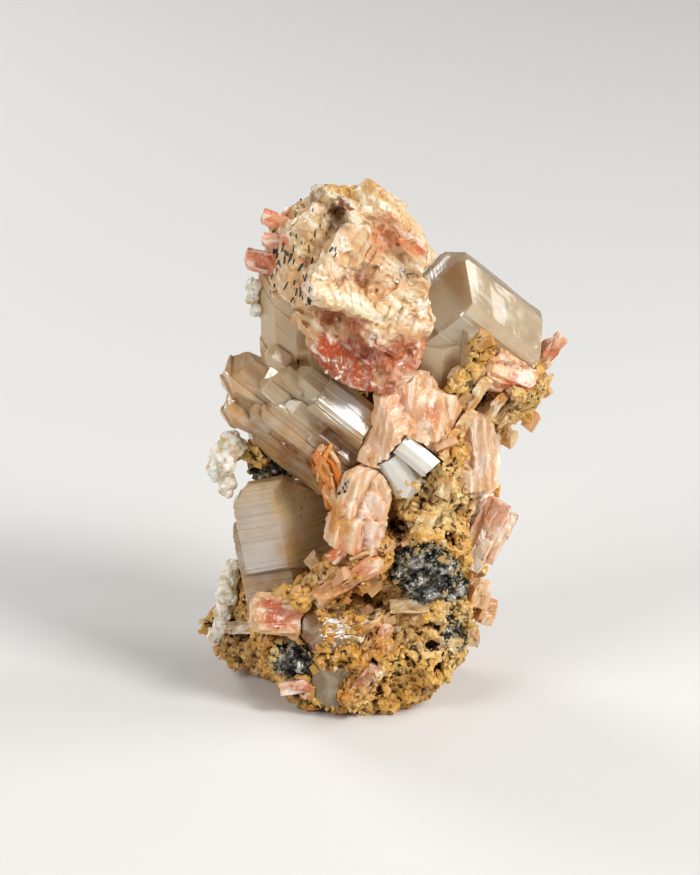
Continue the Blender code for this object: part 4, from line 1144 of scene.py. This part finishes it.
# Stubby crystals grown into the cluster's sides: middle, half length, radius and turn.
STUBS = [
    ((-14.6, -2.6, 45.4), 2.6, 2, 0.1),
    ((-12.2, -3.4, 47), 2.8, 1.9, 0.7),
    ((-9.4, -3.8, 46.4), 3.4, 2.2, 0.3),
    ((-7.4, -4.4, 43.6), 3.6, 2.1, 0.9),
    ((-16.2, -2.4, 41.4), 2.4, 1.9, 0.5),
    ((-13.2, -3, 40.4), 3, 2.1, 0.2),
    ((-10.6, -3.6, 41.4), 3.8, 2.2, 0.6),
    ((-8.2, -4, 38.2), 3.2, 1.9, 0),
    ((-11.8, -2.8, 36.8), 3, 1.8, 0.8),
    ((-14.4, -2.6, 50), 2, 1.7, 0.4),
]
stub_draw = np.random.default_rng(5)
for number, (middle, half, radius, turn) in enumerate(STUBS):
    axis = (unit(TWIN_AXIS) + Vector(stub_draw.normal(0, 0.06, 3))).normalized()
    side = axis.cross(Vector((0, -1, 0))).normalized()
    solid = bmesh.new()
    for sixth in range(6):
        angle = turn + sixth * math.tau / 6 + stub_draw.normal(0, 0.06)
        reach = radius * stub_draw.uniform(0.85, 1.1)
        spoke = (side * math.cos(angle) + axis.cross(side) * math.sin(angle)) * reach
        for end, share in ((-1, 0.45), (-0.62, 1), (0.62, 1), (1, 0.45)):
            solid.verts.new(at(*middle) + (axis * half * end + spoke * share) * MM)
    bmesh.ops.convex_hull(solid, input=solid.verts[:])
    mesh = bpy.data.meshes.new(f"cerussite_stub_{number}")
    solid.to_mesh(mesh)
    solid.free()
    stub = new_piece(mesh.name, mesh)
    crystal_faces(stub, twin_finish, ACROSS_TWIN, (0.4, 1.4), 0.08, number + 70, "#f0cc9a", CLUSTER_PATCHES)


def on_foot_right(x, y, z, normal):
    return x > -9.4 and y < -6


def on_base_edge(x, y, z, normal):
    return z < 2.4 or z > 7 or x > -5.4


def on_small_low(x, y, z, normal):
    return z < 34.6


def on_left_low(x, y, z, normal):
    return z < 17.5 and x > -17


CREAM_TONES = ["#e2c078", "#f2e2b8", "#d8a850", "#ecd49c", "#b87c38", "#e8cc90"]
# Crumbs that stick to the crystals' feet: crystal, where, how many, their sizes in mm and colours.
DUSTED = [
    ("cerussite_foot_crystal", on_foot_right, 520, (0.25, 1.5), LIMONITE_TONES),
    ("cerussite_base_crystal", on_base_edge, 260, (0.3, 1.4), LIMONITE_TONES),
    ("cerussite_small_crystal", on_small_low, 110, (0.2, 1), CREAM_TONES),
    ("cerussite_left_crystal", on_left_low, 160, (0.2, 0.8), CREAM_TONES),
]
for carrier, where, count, size, tones in DUSTED:
    dust = (bpy.data.objects[carrier], count, where, stub_draw, [GRAIN, FLAKE], size, 0.3, 0.1, tones)
    scatter(carrier + "_crumbs", "matrix", limonite_crumbs, *dust)
left_crystal = bpy.data.objects["cerussite_left_crystal"]
side_face = near(2.6, (-12, -3.2, 27.6))
needles = (
    left_crystal, 14, side_face, stub_draw, [NEEDLE], (0.3, 0.9), 0.9, -0.05, ["#7a5a34", "#8c6a40"], 1
)
scatter("left_crystal_inclusions", "matrix", limonite_crumbs, *needles, along=(0.3, 0.3, 0.9))

# Studio
# A pale floor, soft lamps and the camera at the photograph's distance and tilt.

bpy.ops.mesh.primitive_plane_add(size=4)
floor = bpy.context.object
floor.name = "floor"
floor_paint, add, _ = new_material("pale_floor")
floor_surface = add("BsdfPrincipled", {"Base Color": "#dcdad6", "Roughness": 0.6})
add("OutputMaterial", links={"Surface": floor_surface})
floor.data.materials.append(floor_paint)

world = bpy.data.worlds.new("studio")
bpy.context.scene.world = world
world.use_nodes = True
world.node_tree.nodes["Background"].inputs[0].default_value = linear("#cfd0d2")
world.node_tree.nodes["Background"].inputs[1].default_value = 0.24

MIDDLE = Vector((0, 0, 0.037))


def soft_lamp(name, place, size, power):
    """A square soft box that faces the specimen."""
    light = bpy.data.lights.new(name, "AREA")
    light.size = size
    light.energy = power
    lamp = bpy.data.objects.new(name, light)
    lamp.location = place
    lamp.rotation_mode = "QUATERNION"
    lamp.rotation_quaternion = (MIDDLE - Vector(place)).to_track_quat("-Z", "Y")
    bpy.context.collection.objects.link(lamp)


soft_lamp("key", (0.38, -0.26, 0.42), 0.2, 3)
soft_lamp("fill", (-0.4, -0.3, 0.36), 0.3, 1.6)
soft_lamp("top", (0.42, 0.06, 0.4), 0.24, 1.1)
soft_lamp("rim", (-0.32, 0.36, 0.26), 0.2, 1.2)

TILT = math.radians(22)
DISTANCE = 0.66
AIM = at(-4.6, 0, 37.2)
FOCAL_PIXELS = 4750
FRAME_HEIGHT = 875
SENSOR = 36
camera = bpy.data.cameras.new("camera")
camera.sensor_width = SENSOR
camera.lens = FOCAL_PIXELS / FRAME_HEIGHT * SENSOR
camera.clip_start = 0.05
camera_object = bpy.data.objects.new("camera", camera)
camera_object.location = AIM + Vector((0, -math.cos(TILT), math.sin(TILT))) * DISTANCE
camera_object.rotation_euler = (math.pi / 2 - TILT, 0, 0)
bpy.context.collection.objects.link(camera_object)
bpy.context.scene.camera = camera_object
bpy.context.scene.view_settings.view_transform = "Standard"
